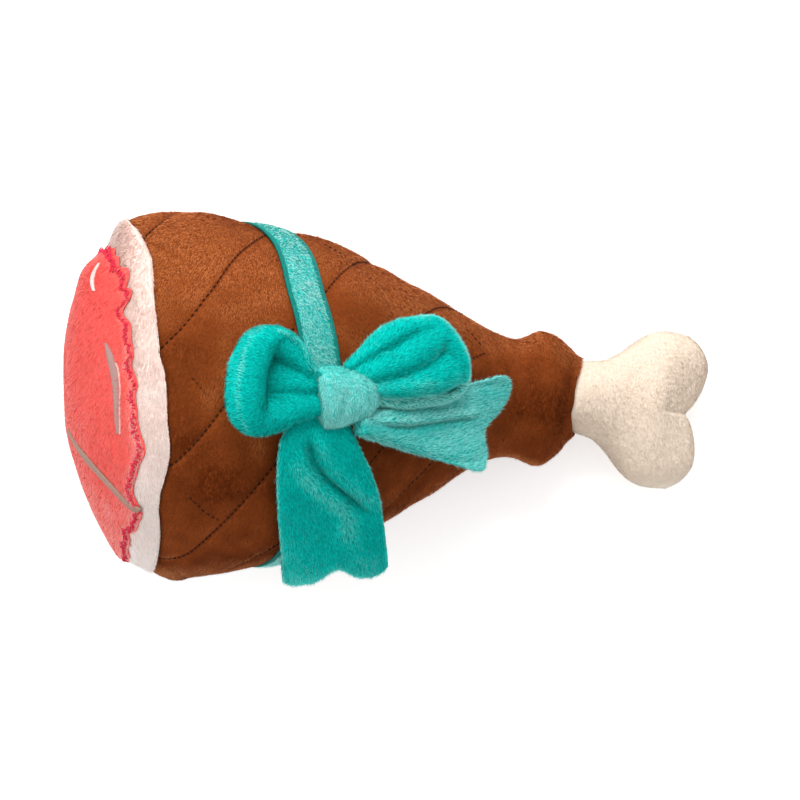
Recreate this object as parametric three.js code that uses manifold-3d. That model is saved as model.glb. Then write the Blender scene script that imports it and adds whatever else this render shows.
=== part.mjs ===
// Plush ham-leg dog toy, millimetres, +Z up, lying on its back panel with the bow on top.
// +X runs from the meat end to the bone, +Y across, and the toy rests at z = 0.
import * as THREE from 'three';
import { mergeVertices } from 'three/addons/utils/BufferGeometryUtils.js';
import Module from 'manifold-3d';

const wasm = await Module();
wasm.setup();

// Leg body
const hamLength = 156;
const hamHalfWidth = 64;
const rimHeight = 59.6;
const wideDepthShare = 0.93;
const neckDepthShare = 1;
const depthGrowthShares = [0.5, 0.85];
const skinWall = 2.6;
const mouthWall = 1.1;
const quiltPitch = 33;
const quiltDepth = 1.1;
const quiltPuff = 0.4;
const seamAngle = 85.5;
const restCut = 0.5;
const pieceGap = 0.3;
const endYawShare = 0.055;
const mouthYawShare = 0.12;
const yawFadeShares = [0.25, 0.9];

// Each station: share of the length, half width, rim height, tilt in degrees, sideways sway share
const hamStationShares = [
  [0.000, 0.938, 1.000, 14, 0.004],
  [0.060, 0.990, 0.957, 14, 0.002],
  [0.130, 1.000, 0.965, 14, -0.002],
  [0.234, 0.952, 0.955, 15, -0.012],
  [0.302, 0.923, 0.921, 16, -0.012],
  [0.392, 0.870, 0.871, 18, -0.012],
  [0.449, 0.815, 0.832, 19, -0.012],
  [0.506, 0.742, 0.785, 20, -0.010],
  [0.574, 0.650, 0.721, 20, -0.008],
  [0.642, 0.562, 0.651, 18, -0.006],
  [0.710, 0.462, 0.581, 15, 0.000],
  [0.776, 0.378, 0.523, 11, -0.006],
  [0.846, 0.328, 0.474, 8, -0.010],
  [0.914, 0.362, 0.430, 4, -0.012],
  [0.955, 0.314, 0.403, 0, -0.010],
  [0.985, 0.267, 0.379, -2, -0.008],
  [1.000, 0.252, 0.370, -3, -0.008],
];

// Meat end
const endBulge = 24;
const endLean = 2.5;
const endPanelWall = 2.8;
const endBulgePower = 1.75;
const meatShare = 0.915;
const meatScallopShare = 0.022;
const meatThickness = 1.3;
const meatLift = 0.6;
const marblingThickness = 0.8;
const marblingLift = 0.4;
const marblingNarrow = 1.2;
const marblingMiddling = 2;
const marblingBroad = 2.5;

// Ribbon sewn round the leg
const ribbonWidth = 11.5;
const ribbonThickness = 1.4;
const ribbonSink = 2.4;
const ribbonSinkReach = 7.5;
const ribbonSeat = -0.9;
const ribbonUnderShare = 0.19;
const ribbonSweepShare = 0.13;
const ribbonLowerShare = 0.055;

// Bow
const bowShare = 0.356;
const bowLeanAngle = 24;
const knotHalfLength = 9.5;
const knotHalfWidth = 11;
const knotHeight = 14.5;
const knotSeat = 2.6;
const knotGatherDepth = 0.5;
const loopRootRadius = 3.9;
const tailRootRadius = 2.9;
const hingeGap = 0.45;

const leftLoop = {
  side: -1, lean: -8, reach: 29.4, rootCentre: 2, rootHalf: 8.4, wideHalf: 18.6, fanRise: 3.4, drift: 0.01, flareShare: 0.45,
  cornerShare: 0.36, cornerPower: 3, farShare: -0.1, edgeHalf: 2.2, droop: 6,
  rollHeight: 9.5, recessDepth: 4.2, creaseDepth: 1.6,
};
const rightLoop = {
  side: 1, lean: 3, reach: 30.8, rootCentre: 7.2, rootHalf: 10.2, wideHalf: 14.8, fanRise: 4.6, drift: 0.03, flareShare: 0.4,
  cornerShare: 0.44, cornerPower: 1.4, farShare: -0.35, edgeHalf: 2.4, droop: 1,
  crownHeight: 9.5, foldDepth: 3,
};
const rightTail = {
  lean: 15, reach: 53, rootCentre: -10.4, rootHalf: 4.4, wideHalf: 16.2, drift: 0.02, flareShares: [0.14, 0.85],
  thickness: 5, shortTipShare: 0.2, notchDepth: 5.5, notchShare: 0.4, foldDepth: 2.4, foldShare: 0.2,
};
const lowerTail = {
  reach: 71, rootCentre: -5, rootHalf: 8.6, wideHalf: 17.4, drift: -0.8, thickness: 5, flareShare: 0.36, hugShare: 0.3,
  shortTipShare: 0.03, notchDepth: 16, notchShare: 0.42, foldDepth: 3, standOff: 9.5,
};

// Bone
const boneLength = 46;
const boneTuck = 7;
const mouthRoom = 1.7;
const shaftHalf = hamHalfWidth * hamStationShares.at(-1)[1] - mouthWall - mouthRoom;
const tuckHalf = shaftHalf - mouthWall - pieceGap;
const lobeSpan = 29.5;
const notchInset = 6.5;
const lobeHalfDepth = 16.6;
const boneWall = 2;
const boneYawAngle = -9;
const bonePitchAngle = 16;

// Stuffing and squeaker
const squeakerRadius = 17;
const squeakerHalfHeight = 13;
const squeakerWall = 1;
const squeakerNeckRadius = 6.5;
const squeakerNeckLength = 7;
const squeakerShare = 0.3;
const whistleWall = 1;
const whistleFlange = 1.6;
const reedThickness = 0.4;
const capThickness = 1.2;
const stuffingInset = 0.7;
const domeRowShares = [-0.86, -0.65, -0.42, -0.2];

const rad = THREE.MathUtils.degToRad;
const clamp01 = (value) => THREE.MathUtils.clamp(value, 0, 1);
const smooth = THREE.MathUtils.smoothstep;
const mix = THREE.MathUtils.lerp;

// Smooth curve through a table of stations, by cubic Hermite pieces
function through(table, column, share) {
  const last = table.length - 1;
  let i = 0;
  while (i < last - 1 && share > table[i + 1][0]) i += 1;
  const slope = (k) => (table[k + 1][column] - table[k][column]) / (table[k + 1][0] - table[k][0]);
  const tangent = (k) => {
    if (k === 0) return slope(0);
    if (k === last) return slope(last - 1);
    const before = table[k][0] - table[k - 1][0];
    const after = table[k + 1][0] - table[k][0];
    return (slope(k - 1) * after + slope(k) * before) / (before + after);
  };
  const step = table[i + 1][0] - table[i][0];
  const t = (share - table[i][0]) / step;
  const t2 = t * t;
  const t3 = t2 * t;
  return (2 * t3 - 3 * t2 + 1) * table[i][column] + (t3 - 2 * t2 + t) * step * tangent(i)
    + (3 * t2 - 2 * t3) * table[i + 1][column] + (t3 - t2) * step * tangent(i + 1);
}

// Section of the leg at a share of its length
function hamSection(share) {
  const halfWidth = hamHalfWidth * through(hamStationShares, 1, share);
  const grown = clamp01((share - depthGrowthShares[0]) / (depthGrowthShares[1] - depthGrowthShares[0]));
  return {
    x: hamLength * share,
    z: rimHeight * through(hamStationShares, 2, share) - restCut,
    tilt: rad(through(hamStationShares, 3, share)),
    sway: hamHalfWidth * through(hamStationShares, 4, share),
    halfWidth,
    halfDepth: halfWidth * mix(wideDepthShare, neckDepthShare, grown),
  };
}

// How far each end of the leg is skewed along it, for each millimetre across
function yaw(share) {
  return mouthYawShare * smooth(share, yawFadeShares[1], 1) - endYawShare * (1 - smooth(share, 0, yawFadeShares[0]));
}

// Point on the leg: angle 0 faces up, +90 degrees faces +Y, lift stands off the smooth surface
function hamPoint(share, angle, lift = 0) {
  const s = hamSection(share);
  const normal = new THREE.Vector2(Math.cos(angle) / s.halfDepth, Math.sin(angle) / s.halfWidth).normalize();
  const up = s.halfDepth * Math.cos(angle) + lift * normal.x;
  const across = s.sway + s.halfWidth * Math.sin(angle) + lift * normal.y;
  const along = s.x + up * Math.sin(s.tilt) + yaw(share) * (across - s.sway);
  return new THREE.Vector3(along, across, s.z + up * Math.cos(s.tilt));
}

// Point on the domed meat end: shares of the rim's radii, toward the top and toward +Y
function endPoint(top, side, lift = 0, inset = 0) {
  const s = hamSection(0);
  const reach = Math.hypot(top, side);
  const swell = (1 - clamp01(reach) ** endBulgePower) ** (1 / endBulgePower);
  const bulge = (endBulge - inset) * swell + pieceGap + lift;
  const up = top * (s.halfDepth - inset);
  const across = side * (s.halfWidth - inset);
  return new THREE.Vector3(
    s.x + up * Math.sin(s.tilt) - bulge * Math.cos(s.tilt) + yaw(0) * across,
    s.sway + across + endLean * swell,
    s.z + up * Math.cos(s.tilt) + bulge * Math.sin(s.tilt),
  );
}

// Evenly spaced values from start to end
function steps(count, start, end) {
  return Array.from({ length: count + 1 }, (_, i) => mix(start, end, i / count));
}

// Closed solid between two grids of points that share a border; a ring closes on itself,
// and a disc has one centre point in place of its first row
function gridSolid(rows, cols, outer, inner, { ring = false, disc = false, crease = () => false } = {}) {
  const position = [];
  const index = [];
  const sheet = (pointAt) => rows.map((u, i) => {
    const count = disc && i === 0 ? 1 : cols.length;
    return Array.from({ length: count }, (_, j) => {
      const p = pointAt(u, cols[j], i, j);
      position.push(p.x, p.y, p.z);
      return position.length / 3 - 1;
    });
  });
  const tops = sheet(outer);
  const bottoms = sheet(inner);
  const at = (grid, i, j) => grid[i][grid[i].length === 1 ? 0 : j % cols.length];
  const quad = (a, b, c, d) => {
    if (a !== b) index.push(a, b, c);
    if (c !== d) index.push(a, c, d);
  };
  const lastCol = ring ? cols.length : cols.length - 1;
  for (let i = 0; i < rows.length - 1; i += 1) {
    for (let j = 0; j < lastCol; j += 1) {
      const corners = [[i, j], [i, j + 1], [i + 1, j + 1], [i + 1, j]];
      const turned = crease(i, j) && !(disc && i === 0) ? [corners[1], corners[2], corners[3], corners[0]] : corners;
      quad(...turned.map(([r, c]) => at(tops, r, c)));
      quad(...turned.map(([r, c]) => at(bottoms, r, c)).reverse());
    }
  }
  const wall = (i, j, k, l) => {
    quad(at(tops, i, j), at(bottoms, i, j), at(bottoms, k, l), at(tops, k, l));
  };
  const end = rows.length - 1;
  for (let j = 0; j < lastCol; j += 1) {
    wall(end, j + 1, end, j);
    if (!disc) wall(0, j, 0, j + 1);
  }
  if (!ring) {
    for (let i = 0; i < end; i += 1) {
      wall(i + 1, 0, i, 0);
      wall(i, lastCol, i + 1, lastCol);
    }
  }
  return facingOut(position, index);
}

// Geometry from points and triangles, turned so that the faces point out
function facingOut(position, index) {
  const corner = (k) => new THREE.Vector3().fromArray(position, 3 * index[k]);
  let volume = 0;
  for (let k = 0; k < index.length; k += 3) volume += corner(k).dot(corner(k + 1).cross(corner(k + 2)));
  if (volume < 0) index.reverse();
  const geometry = new THREE.BufferGeometry();
  geometry.setAttribute('position', new THREE.Float32BufferAttribute(position, 3));
  geometry.setIndex(index);
  geometry.computeVertexNormals();
  return geometry;
}

// Manifold solid of a geometry, and the geometry of a manifold solid
function toSolid(geometry) {
  const bare = geometry.clone();
  bare.deleteAttribute('normal');
  bare.deleteAttribute('uv');
  const merged = mergeVertices(bare);
  const triangles = [];
  for (let k = 0; k < merged.index.count; k += 3) {
    const [a, b, c] = merged.index.array.slice(k, k + 3);
    if (a !== b && b !== c && c !== a) triangles.push(a, b, c);
  }
  return new wasm.Manifold(new wasm.Mesh({
    numProp: 3,
    vertProperties: new Float32Array(merged.attributes.position.array),
    triVerts: new Uint32Array(triangles),
  }));
}

function toGeometry(solid) {
  const mesh = solid.getMesh();
  const geometry = new THREE.BufferGeometry();
  geometry.setAttribute('position', new THREE.Float32BufferAttribute(mesh.vertProperties, 3));
  geometry.setIndex(new THREE.Uint32BufferAttribute(mesh.triVerts, 1));
  geometry.computeVertexNormals();
  return geometry;
}

// The underside is pressed flat where the toy lies on it
function restFlat(geometry, matrix = new THREE.Matrix4()) {
  const placed = geometry.clone().applyMatrix4(matrix);
  placed.computeBoundingBox();
  const box = placed.boundingBox;
  const size = box.getSize(new THREE.Vector3());
  const cutter = new THREE.BoxGeometry(2 * size.x, 2 * size.y, size.z);
  cutter.translate(0, 0, -size.z / 2);
  const centre = box.getCenter(new THREE.Vector3());
  cutter.translate(centre.x, centre.y, 0);
  const cut = toGeometry(toSolid(placed).subtract(toSolid(cutter)));
  return cut.applyMatrix4(matrix.clone().invert());
}

const object = new THREE.Group();

function addPart(parent, name, geometry, colour, roughness) {
  const material = new THREE.MeshStandardMaterial({ color: colour, roughness, metalness: 0 });
  const mesh = new THREE.Mesh(geometry, material);
  mesh.name = name;
  parent.add(mesh);
  return mesh;
}

const brown = 0x8f4a23;
const cream = 0xe8d6c4;
const pink = 0xf8dccf;
const coral = 0xf8645b;
const silver = 0xb9aaa4;
const teal = 0x0ab0a8;
const ribbonTeal = 0x3ebbb4;
const fibre = 0xf4f2ec;
const plastic = 0xe9e6dc;

// Share of the length where the ribbon's middle crosses an angle, and how far it draws the skin in
function ribbonCentre(angle) {
  const lower = ribbonLowerShare * Math.min(0, Math.sin(angle)) ** 2;
  return ribbonUnderShare + ribbonSweepShare * ((1 + Math.cos(angle)) / 2) ** 1.5 + lower;
}

function ribbonPinch(share, angle) {
  return Math.exp(-(((share - ribbonCentre(angle)) * hamLength / ribbonSinkReach) ** 2));
}

// Quilted skin: rows along the leg, columns round it, stitched on every second diagonal of the grid
const quiltSteps = 4;
const columnsPerPanel = 16;
const quiltPhase = 10;
const quiltFadeShares = [0.6, 0.8];
const quiltRowShare = quiltPitch / quiltSteps / hamLength;
const quiltRows = Math.floor(hamStationShares[12][0] / quiltRowShare);
const cuffRowShares = [0.874, 0.900, 0.922, 0.944, 0.964, 0.983, 1];

// Depth of the skin's inner face under the smooth surface of the leg
function skinDepth(share, angle) {
  const wall = mix(skinWall + quiltDepth, mouthWall, smooth(share, cuffRowShares[3], cuffRowShares[6]));
  return wall + ribbonSink * ribbonPinch(share, angle);
}

function skinPanel(startAngle) {
  const rows = [...steps(quiltRows, 0, quiltRows * quiltRowShare), ...cuffRowShares];
  const cols = steps(columnsPerPanel, rad(startAngle), rad(startAngle + 180));
  const edge = pieceGap / 2;
  const offLine = (k) => {
    const r = ((k % quiltSteps) + quiltSteps) % quiltSteps;
    return Math.min(r, quiltSteps - r);
  };
  const relief = (i, j, share, angle) => {
    const sink = ribbonPinch(share, angle);
    const fade = (1 - smooth(share, ...quiltFadeShares)) * (1 - sink);
    const near = Math.min(offLine(j - i - quiltPhase), offLine(j + i - quiltPhase));
    if (near === 0) return -quiltDepth * fade - ribbonSink * sink;
    return (near === 1 ? 0 : quiltPuff * fade) - ribbonSink * sink;
  };
  const seam = (angle, share, j) => {
    const inward = edge / (hamHalfWidth * through(hamStationShares, 1, share));
    if (j === 0) return angle + inward;
    return j === columnsPerPanel ? angle - inward : angle;
  };
  const outer = (share, angle, i, j) => hamPoint(share, seam(angle, share, j), relief(i, j, share, angle));
  const inner = (share, angle, i, j) => hamPoint(share, seam(angle, share, j), -skinDepth(share, angle));
  const crease = (i, j) => offLine(j - i - quiltPhase) === 0 || offLine(j - i - 1 - quiltPhase) === 2;
  return gridSolid(rows, cols, outer, inner, { crease });
}

function skins() {
  addPart(object, 'skin_front', skinPanel(seamAngle - 180), brown, 0.9);
  addPart(object, 'skin_back', restFlat(skinPanel(seamAngle)), brown, 0.9);
}

// Domed end panel, the meat patch on it and the marbling on the meat
function meatEnd() {
  const domeRows = [0, 0.25, 0.47, 0.66, 0.8, 0.9, 0.97, 1];
  const around = steps(40, 0, 2 * Math.PI).slice(0, -1);
  const at = (reach, angle, lift, inset) => endPoint(reach * Math.cos(angle), reach * Math.sin(angle), lift, inset);
  const dome = gridSolid(domeRows, around,
    (reach, angle) => at(reach, angle, 0, 0),
    (reach, angle) => at(reach, angle, 0, endPanelWall), { ring: true, disc: true });
  addPart(object, 'end_panel', dome, pink, 0.9);

  const meatRows = [0, 0.3, 0.55, 0.74, 0.87, 0.95, 1];
  const edge = (angle) => meatShare * (1 + meatScallopShare
    * (Math.sin(9 * angle + 1) + 0.6 * Math.sin(5 * angle + 2.2)));
  const patch = gridSolid(meatRows, around,
    (reach, angle) => at(reach * edge(angle), angle, meatLift + meatThickness, 0),
    (reach, angle) => at(reach * edge(angle), angle, meatLift, 0), { ring: true, disc: true });
  addPart(object, 'meat_patch', patch, coral, 0.85);

  const base = meatLift + meatThickness + marblingLift;
  const marbling = [
    { name: 'marbling_top', half: marblingMiddling, line: [[0.17, 0.78], [0.05, 0.69], [0.19, 0.58]] },
    { name: 'marbling_middle', half: marblingBroad, line: [[0.62, 0.30], [0.74, 0.09], [0.80, -0.23]] },
    { name: 'marbling_lower', half: marblingNarrow, line: [[0.08, -0.18], [0.42, -0.33], [0.72, -0.58]] },
  ];
  for (const { name, half, line } of marbling) {
    const curve = new THREE.SplineCurve(line.map(([top, side]) => new THREE.Vector2(top, side)));
    const place = (u, v, lift) => {
      const p = curve.getPoint(u);
      const t = curve.getTangent(u);
      const width = half / hamHalfWidth * (0.25 + 0.75 * Math.sin(Math.PI * u)) * v;
      return endPoint(p.x - t.y * width, p.y + t.x * width, lift);
    };
    const leaf = gridSolid(steps(8, 0, 1), [-1, 0, 1],
      (u, v) => place(u, v, base + marblingThickness), (u, v) => place(u, v, base));
    addPart(object, name, leaf, silver, 0.45);
  }
}

// Ribbon round the leg in a front and a back strip, meeting at the side seams
function ribbonStrip(startAngle) {
  const cols = steps(columnsPerPanel, rad(startAngle), rad(startAngle + 180));
  const rows = steps(2, -ribbonWidth / 2, ribbonWidth / 2);
  const trim = pieceGap / 2 / hamHalfWidth;
  const place = (across, angle, j, lift) => {
    const ends = { 0: trim, [columnsPerPanel]: -trim };
    const turned = angle + (ends[j] ?? 0);
    return hamPoint(ribbonCentre(turned) + across / hamLength, turned, lift);
  };
  const seat = ribbonSeat;
  return gridSolid(rows, cols,
    (across, angle, i, j) => place(across, angle, j, seat + ribbonThickness),
    (across, angle, i, j) => place(across, angle, j, seat));
}

function ribbons() {
  addPart(object, 'ribbon_front', ribbonStrip(seamAngle - 180), ribbonTeal, 0.8);
  addPart(object, 'ribbon_back', restFlat(ribbonStrip(seamAngle)), ribbonTeal, 0.8);
}

// Bow frame: origin on the leg under the knot, local X down the leg, local Z out of it
const bow = new THREE.Group();
bow.name = 'bow_frame';
bow.position.copy(hamPoint(bowShare, 0));
bow.rotation.y = rad(bowLeanAngle);
object.add(bow);
const bowRadius = hamSection(bowShare).halfWidth;
const legDrop = (across) => across * across / (2 * bowRadius);

function knot() {
  const wallTop = knotSeat + 2 * loopRootRadius + pieceGap;
  const plan = (reach, angle, height) => {
    const c = Math.cos(angle);
    const s = Math.sin(angle);
    const round = (Math.abs(c) ** 3 + Math.abs(s) ** 3) ** (-1 / 3);
    return new THREE.Vector3(knotHalfLength * c * round * reach, knotHalfWidth * s * round * reach, height);
  };
  const crown = (reach, angle) => {
    const gather = knotGatherDepth * Math.cos(6 * angle) * reach * reach;
    return wallTop + (knotHeight - wallTop) * Math.sqrt(1 - reach ** 2.4) - gather;
  };
  const solid = gridSolid([0, 0.35, 0.62, 0.82, 0.94, 1], steps(24, 0, 2 * Math.PI).slice(0, -1),
    (reach, angle) => plan(reach, angle, crown(reach, angle)),
    (reach, angle) => {
      const p = plan(reach, angle, 0);
      return p.setZ(knotSeat - legDrop(p.y));
    }, { ring: true, disc: true });
  addPart(bow, 'bow_knot', solid, teal, 0.9);
}

// Rows of a bow piece: a round root that turns about the hinge, then the length itself
const rootAngles = [78, 52, 26];

function hingedSolid(lengthRows, cols, root, plan, top, bottom) {
  const rows = [...rootAngles.map((angle) => -rad(angle)), ...lengthRows];
  const place = (height, sign) => (u, v) => {
    const p = plan(Math.max(u, 0), v);
    if (u < 0) return new THREE.Vector3(-root.side * root.radius * Math.sin(-u), p.y, sign * root.radius * Math.cos(u));
    return new THREE.Vector3(root.side * p.x, p.y, height(u, v, p));
  };
  return gridSolid(rows, cols, place(top, 1), place(bottom, -1));
}

// Plan of a loop or tail: it fans out from its root, and its corners are rounded off
function fanPlan(piece) {
  return (u, v) => {
    const fan = Math.sin(Math.PI / 2 * clamp01(u / piece.flareShare));
    const off = Math.abs(v - piece.farShare) / (1 + Math.abs(piece.farShare));
    const x = piece.reach * u * (1 - piece.cornerShare * off ** piece.cornerPower);
    const y = piece.rootCentre + piece.fanRise * fan + piece.drift * x + mix(piece.rootHalf, piece.wideHalf, fan) * v;
    return new THREE.Vector2(x, y);
  };
}

// Hinge frame at the knot's edge, leaned to follow the leg
function hinge(name, side, lean, radius) {
  const pivot = new THREE.Group();
  pivot.name = name;
  pivot.position.set(side * (knotHalfLength + hingeGap + radius), 0, knotSeat + radius + pieceGap);
  pivot.rotation.y = rad(lean);
  bow.add(pivot);
  return pivot;
}

const edgeReach = (u, v) => clamp01((u ** 4 + Math.abs(v) ** 4) ** 0.25);

// Left loop: its outer end curls over into a roll round a hollow with two pleats
function leftLoopSolid() {
  const p = leftLoop;
  const rollStartShare = 0.52;
  const top = (u, v) => {
    const reach = edgeReach(u, v);
    const open = smooth(u, 0.05, 0.45);
    const t = clamp01((reach - rollStartShare) / (1 - rollStartShare));
    const roll = p.rollHeight * Math.sqrt(Math.max(0, 1 - (2 * t - 1) ** 2)) * open;
    const hollow = p.recessDepth * Math.exp(-(((reach - rollStartShare) / 0.13) ** 2)) * open;
    const crease = p.creaseDepth * Math.exp(-(((v + 0.15) / 0.12) ** 2)) * (1 - t);
    return mix(loopRootRadius, p.edgeHalf, t) + roll - hollow - crease * smooth(u, 0, 0.1);
  };
  const bottom = (u, v) => {
    const reach = edgeReach(u, v);
    return mix(-loopRootRadius, -p.edgeHalf, reach ** 4) - p.droop * v * v * smooth(u, 0, 0.6);
  };
  const droop = (u, v) => p.droop * v * v * smooth(u, 0, 0.6);
  return hingedSolid([0, 0.1, 0.22, 0.34, 0.44, 0.52, 0.6, 0.7, 0.8, 0.9, 0.96, 1], steps(14, -1, 1),
    { side: p.side, radius: loopRootRadius }, fanPlan(p),
    (u, v) => top(u, v) - droop(u, v), bottom);
}

// Right loop: a puffed fan with two valley folds running out from the knot
function rightLoopSolid() {
  const p = rightLoop;
  const valleys = [{ place: 0, end: 0.85, depth: 1 }, { place: 0.5, end: 0.5, depth: 0.7 }];
  const top = (u, v) => {
    const reach = edgeReach(u, v);
    const crown = mix(loopRootRadius, p.crownHeight, smooth(u, 0, 0.5));
    let fold = 0;
    for (const valley of valleys) {
      const along = smooth(u, 0, 0.12) * (1 - smooth(u, valley.end - 0.15, valley.end + 0.1));
      fold += p.foldDepth * valley.depth * Math.exp(-(((v - valley.place) / 0.13) ** 2)) * along;
    }
    const fall = Math.sqrt(1 - reach ** 5);
    return mix(p.edgeHalf, crown, fall) - fold - p.droop * v * v;
  };
  const bottom = (u, v) => {
    const fall = Math.sqrt(1 - edgeReach(u, v) ** 5);
    return mix(-p.edgeHalf, -loopRootRadius, fall) - p.droop * v * v * smooth(u, 0, 0.3);
  };
  return hingedSolid([0, 0.1, 0.22, 0.36, 0.5, 0.64, 0.77, 0.88, 0.95, 1], steps(16, -1, 1),
    { side: p.side, radius: loopRootRadius }, fanPlan(p), top, bottom);
}

// Notched end of a tail: how much of the reach is left at a place across it
function tailEnd(piece, v) {
  const tip = 1 - piece.shortTipShare * (1 - v) / 2;
  const corner = 0.07 * Math.abs(v) ** 6;
  return tip - corner - piece.notchDepth / piece.reach * Math.exp(-((v / piece.notchShare) ** 2));
}

function rightTailSolid() {
  const p = rightTail;
  const plan = (u, v) => {
    const x = p.reach * u * mix(1, tailEnd(p, v), u);
    const fan = smooth(u, ...p.flareShares);
    return new THREE.Vector2(x, p.rootCentre + p.drift * x + mix(p.rootHalf, p.wideHalf, fan) * v);
  };
  const lift = (u, v) => {
    const valley = p.foldDepth * Math.exp(-(((v - p.foldShare) / 0.2) ** 2)) * smooth(u, 0.02, 0.2);
    return 2 * p.foldDepth * smooth(u, 0.3, 1) * v * v - valley;
  };
  const half = (u, v) => mix(tailRootRadius, p.thickness / 2, smooth(u, 0, 0.2)) * (1 - 0.45 * edgeReach(u, v) ** 6);
  return hingedSolid([0, 0.12, 0.26, 0.42, 0.58, 0.74, 0.87, 0.95, 1], steps(10, -1, 1),
    { side: 1, radius: tailRootRadius }, plan,
    (u, v) => lift(u, v) + half(u, v), (u, v) => lift(u, v) - half(u, v));
}

// Lower tail: it hangs round the side of the leg from under the knot
function lowerTailPoint(u, v, offset) {
  const p = lowerTail;
  const start = -(knotHalfWidth + hingeGap + tailRootRadius);
  const seat = knotSeat + pieceGap + tailRootRadius;
  const path = p.reach * u * mix(1, tailEnd(p, v), u);
  const lift = seat + (p.standOff - seat) * smooth(u, 0.35, 1);
  const angle = (start - path) / (bowRadius + seat);
  const s = hamSection(bowShare);
  const fan = Math.sin(Math.PI / 2 * clamp01(u / p.flareShare));
  const across = p.rootCentre + p.drift * u + mix(p.rootHalf, p.wideHalf, fan) * v;
  const along = across + s.halfDepth * Math.sin(s.tilt) * (1 - Math.cos(angle));
  const hug = mix(1, p.hugShare, smooth(u, 0.1, 0.8));
  const point = hamPoint(bowShare + hug * along / hamLength, angle, lift + offset);
  return point.setX(point.x + (1 - hug) * along);
}

function lowerTailHinge() {
  const pivot = new THREE.Group();
  pivot.name = 'bow_lower_tail_hinge';
  const line = lowerTailPoint(0, 1, 0).sub(lowerTailPoint(0, -1, 0)).normalize();
  pivot.position.copy(lowerTailPoint(0, 0, 0));
  pivot.quaternion.setFromUnitVectors(new THREE.Vector3(1, 0, 0), line);
  object.add(pivot);
  pivot.updateMatrixWorld(true);
  return pivot;
}

function lowerTailSolid(pivot) {
  const p = lowerTail;
  const fold = (u, v) => {
    const line = mix(-0.25, 0.75, clamp01(u / 0.6));
    return p.foldDepth * Math.exp(-(((v - line) / 0.22) ** 2)) * smooth(u, 0, 0.12) * (1 - smooth(u, 0.4, 0.65));
  };
  const half = (u, v) => mix(tailRootRadius, p.thickness / 2, smooth(u, 0, 0.2)) * (1 - 0.45 * edgeReach(u, v) ** 6);
  const rows = [...rootAngles.map((angle) => -rad(angle)), 0, 0.1, 0.2, 0.32, 0.45, 0.58, 0.71, 0.84, 0.94, 1];
  const side = (sign) => (u, v) => {
    if (u >= 0) return lowerTailPoint(u, v, sign * half(u, v) - fold(u, v));
    return lowerTailPoint(tailRootRadius * Math.sin(u) / p.reach, v, sign * tailRootRadius * Math.cos(u));
  };
  return gridSolid(rows, steps(12, -1, 1), side(1), side(-1)).applyMatrix4(pivot.matrixWorld.clone().invert());
}

function bowPieces() {
  knot();
  const leftHinge = hinge('bow_left_hinge', -1, leftLoop.lean, loopRootRadius);
  addPart(leftHinge, 'bow_loop_left', leftLoopSolid(), teal, 0.9);
  const rightHinge = hinge('bow_right_hinge', 1, rightLoop.lean, loopRootRadius);
  addPart(rightHinge, 'bow_loop_right', rightLoopSolid(), teal, 0.9);
  const tailHinge = hinge('bow_tail_hinge', 1, rightTail.lean, tailRootRadius);
  addPart(tailHinge, 'bow_tail_right', rightTailSolid(), teal, 0.9);
  const lowerHinge = lowerTailHinge();
  addPart(lowerHinge, 'bow_tail_lower', lowerTailSolid(lowerHinge), teal, 0.9);
}

// Bone: two panels sewn on the outline, tucked into the cuff
function boneSurface(side, inset) {
  const lobeReach = boneLength;
  const notchReach = boneLength - notchInset;
  const edge = new THREE.SplineCurve([
    [-boneTuck, tuckHalf], [0, shaftHalf], [lobeReach * 0.15, lobeSpan * 0.49], [lobeReach * 0.28, lobeSpan * 0.61],
    [lobeReach * 0.40, lobeSpan * 0.78], [lobeReach * 0.53, lobeSpan * 0.93], [lobeReach * 0.67, lobeSpan],
    [lobeReach * 0.81, lobeSpan * 0.96],
  ].map(([x, y]) => new THREE.Vector2(x, y)));
  const end = new THREE.SplineCurve([
    [lobeReach * 0.81, lobeSpan * 0.96], [lobeReach * 0.92, lobeSpan * 0.83], [lobeReach * 0.995, lobeSpan * 0.62],
    [lobeReach * 0.985, lobeSpan * 0.37], [lobeReach * 0.93, lobeSpan * 0.15], [notchReach, 0],
  ].map(([x, y]) => new THREE.Vector2(x, y)));
  const plan = (u, v) => {
    const rim = edge.getPointAt(u);
    const tip = end.getPointAt(1 - Math.abs(v));
    const middle = mix(-boneTuck, notchReach, u);
    const x = mix(middle, rim.x, v * v) + (tip.x - mix(notchReach, lobeReach * 0.81, v * v)) * u ** 3;
    const y = mix(rim.y * Math.abs(v), tip.y, u ** 3);
    return new THREE.Vector2(x, Math.sign(v) * y);
  };
  const depthAt = (u, v) => {
    const swell = mix(shaftHalf, lobeHalfDepth, smooth(u, 0.4, 0.75));
    const root = mix(tuckHalf, swell, smooth(u, 0, 0.12));
    const across = Math.sqrt(Math.max(0, 1 - v ** 2)) ** 0.9;
    const waist = 1 - 0.28 * smooth(u, 0.6, 0.9) * (1 - Math.abs(v)) ** 2;
    return root * across * waist * (1 - u ** 9) ** 0.5;
  };
  const slim = 1 - inset / shaftHalf;
  return (u, v) => {
    const p = plan(u, v);
    const lobe = Math.sign(v) * lobeSpan / 2 * smooth(u, 0.4, 0.8) * Math.min(1, 3 * Math.abs(v));
    const end = inset * smooth(u, 0.9, 1);
    return new THREE.Vector3(p.x - end, lobe + (p.y - lobe) * slim, side * (pieceGap / 2 + depthAt(u, v) * slim));
  };
}

const boneRowShares = [0, 0.13, 0.25, 0.36, 0.46, 0.56, 0.66, 0.76, 0.85, 0.92, 0.97, 1];
const boneColumnShares = [-1, -0.97, -0.88, -0.74, -0.56, -0.37, -0.18, 0, 0.18, 0.37, 0.56, 0.74, 0.88, 0.97, 1];

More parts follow.
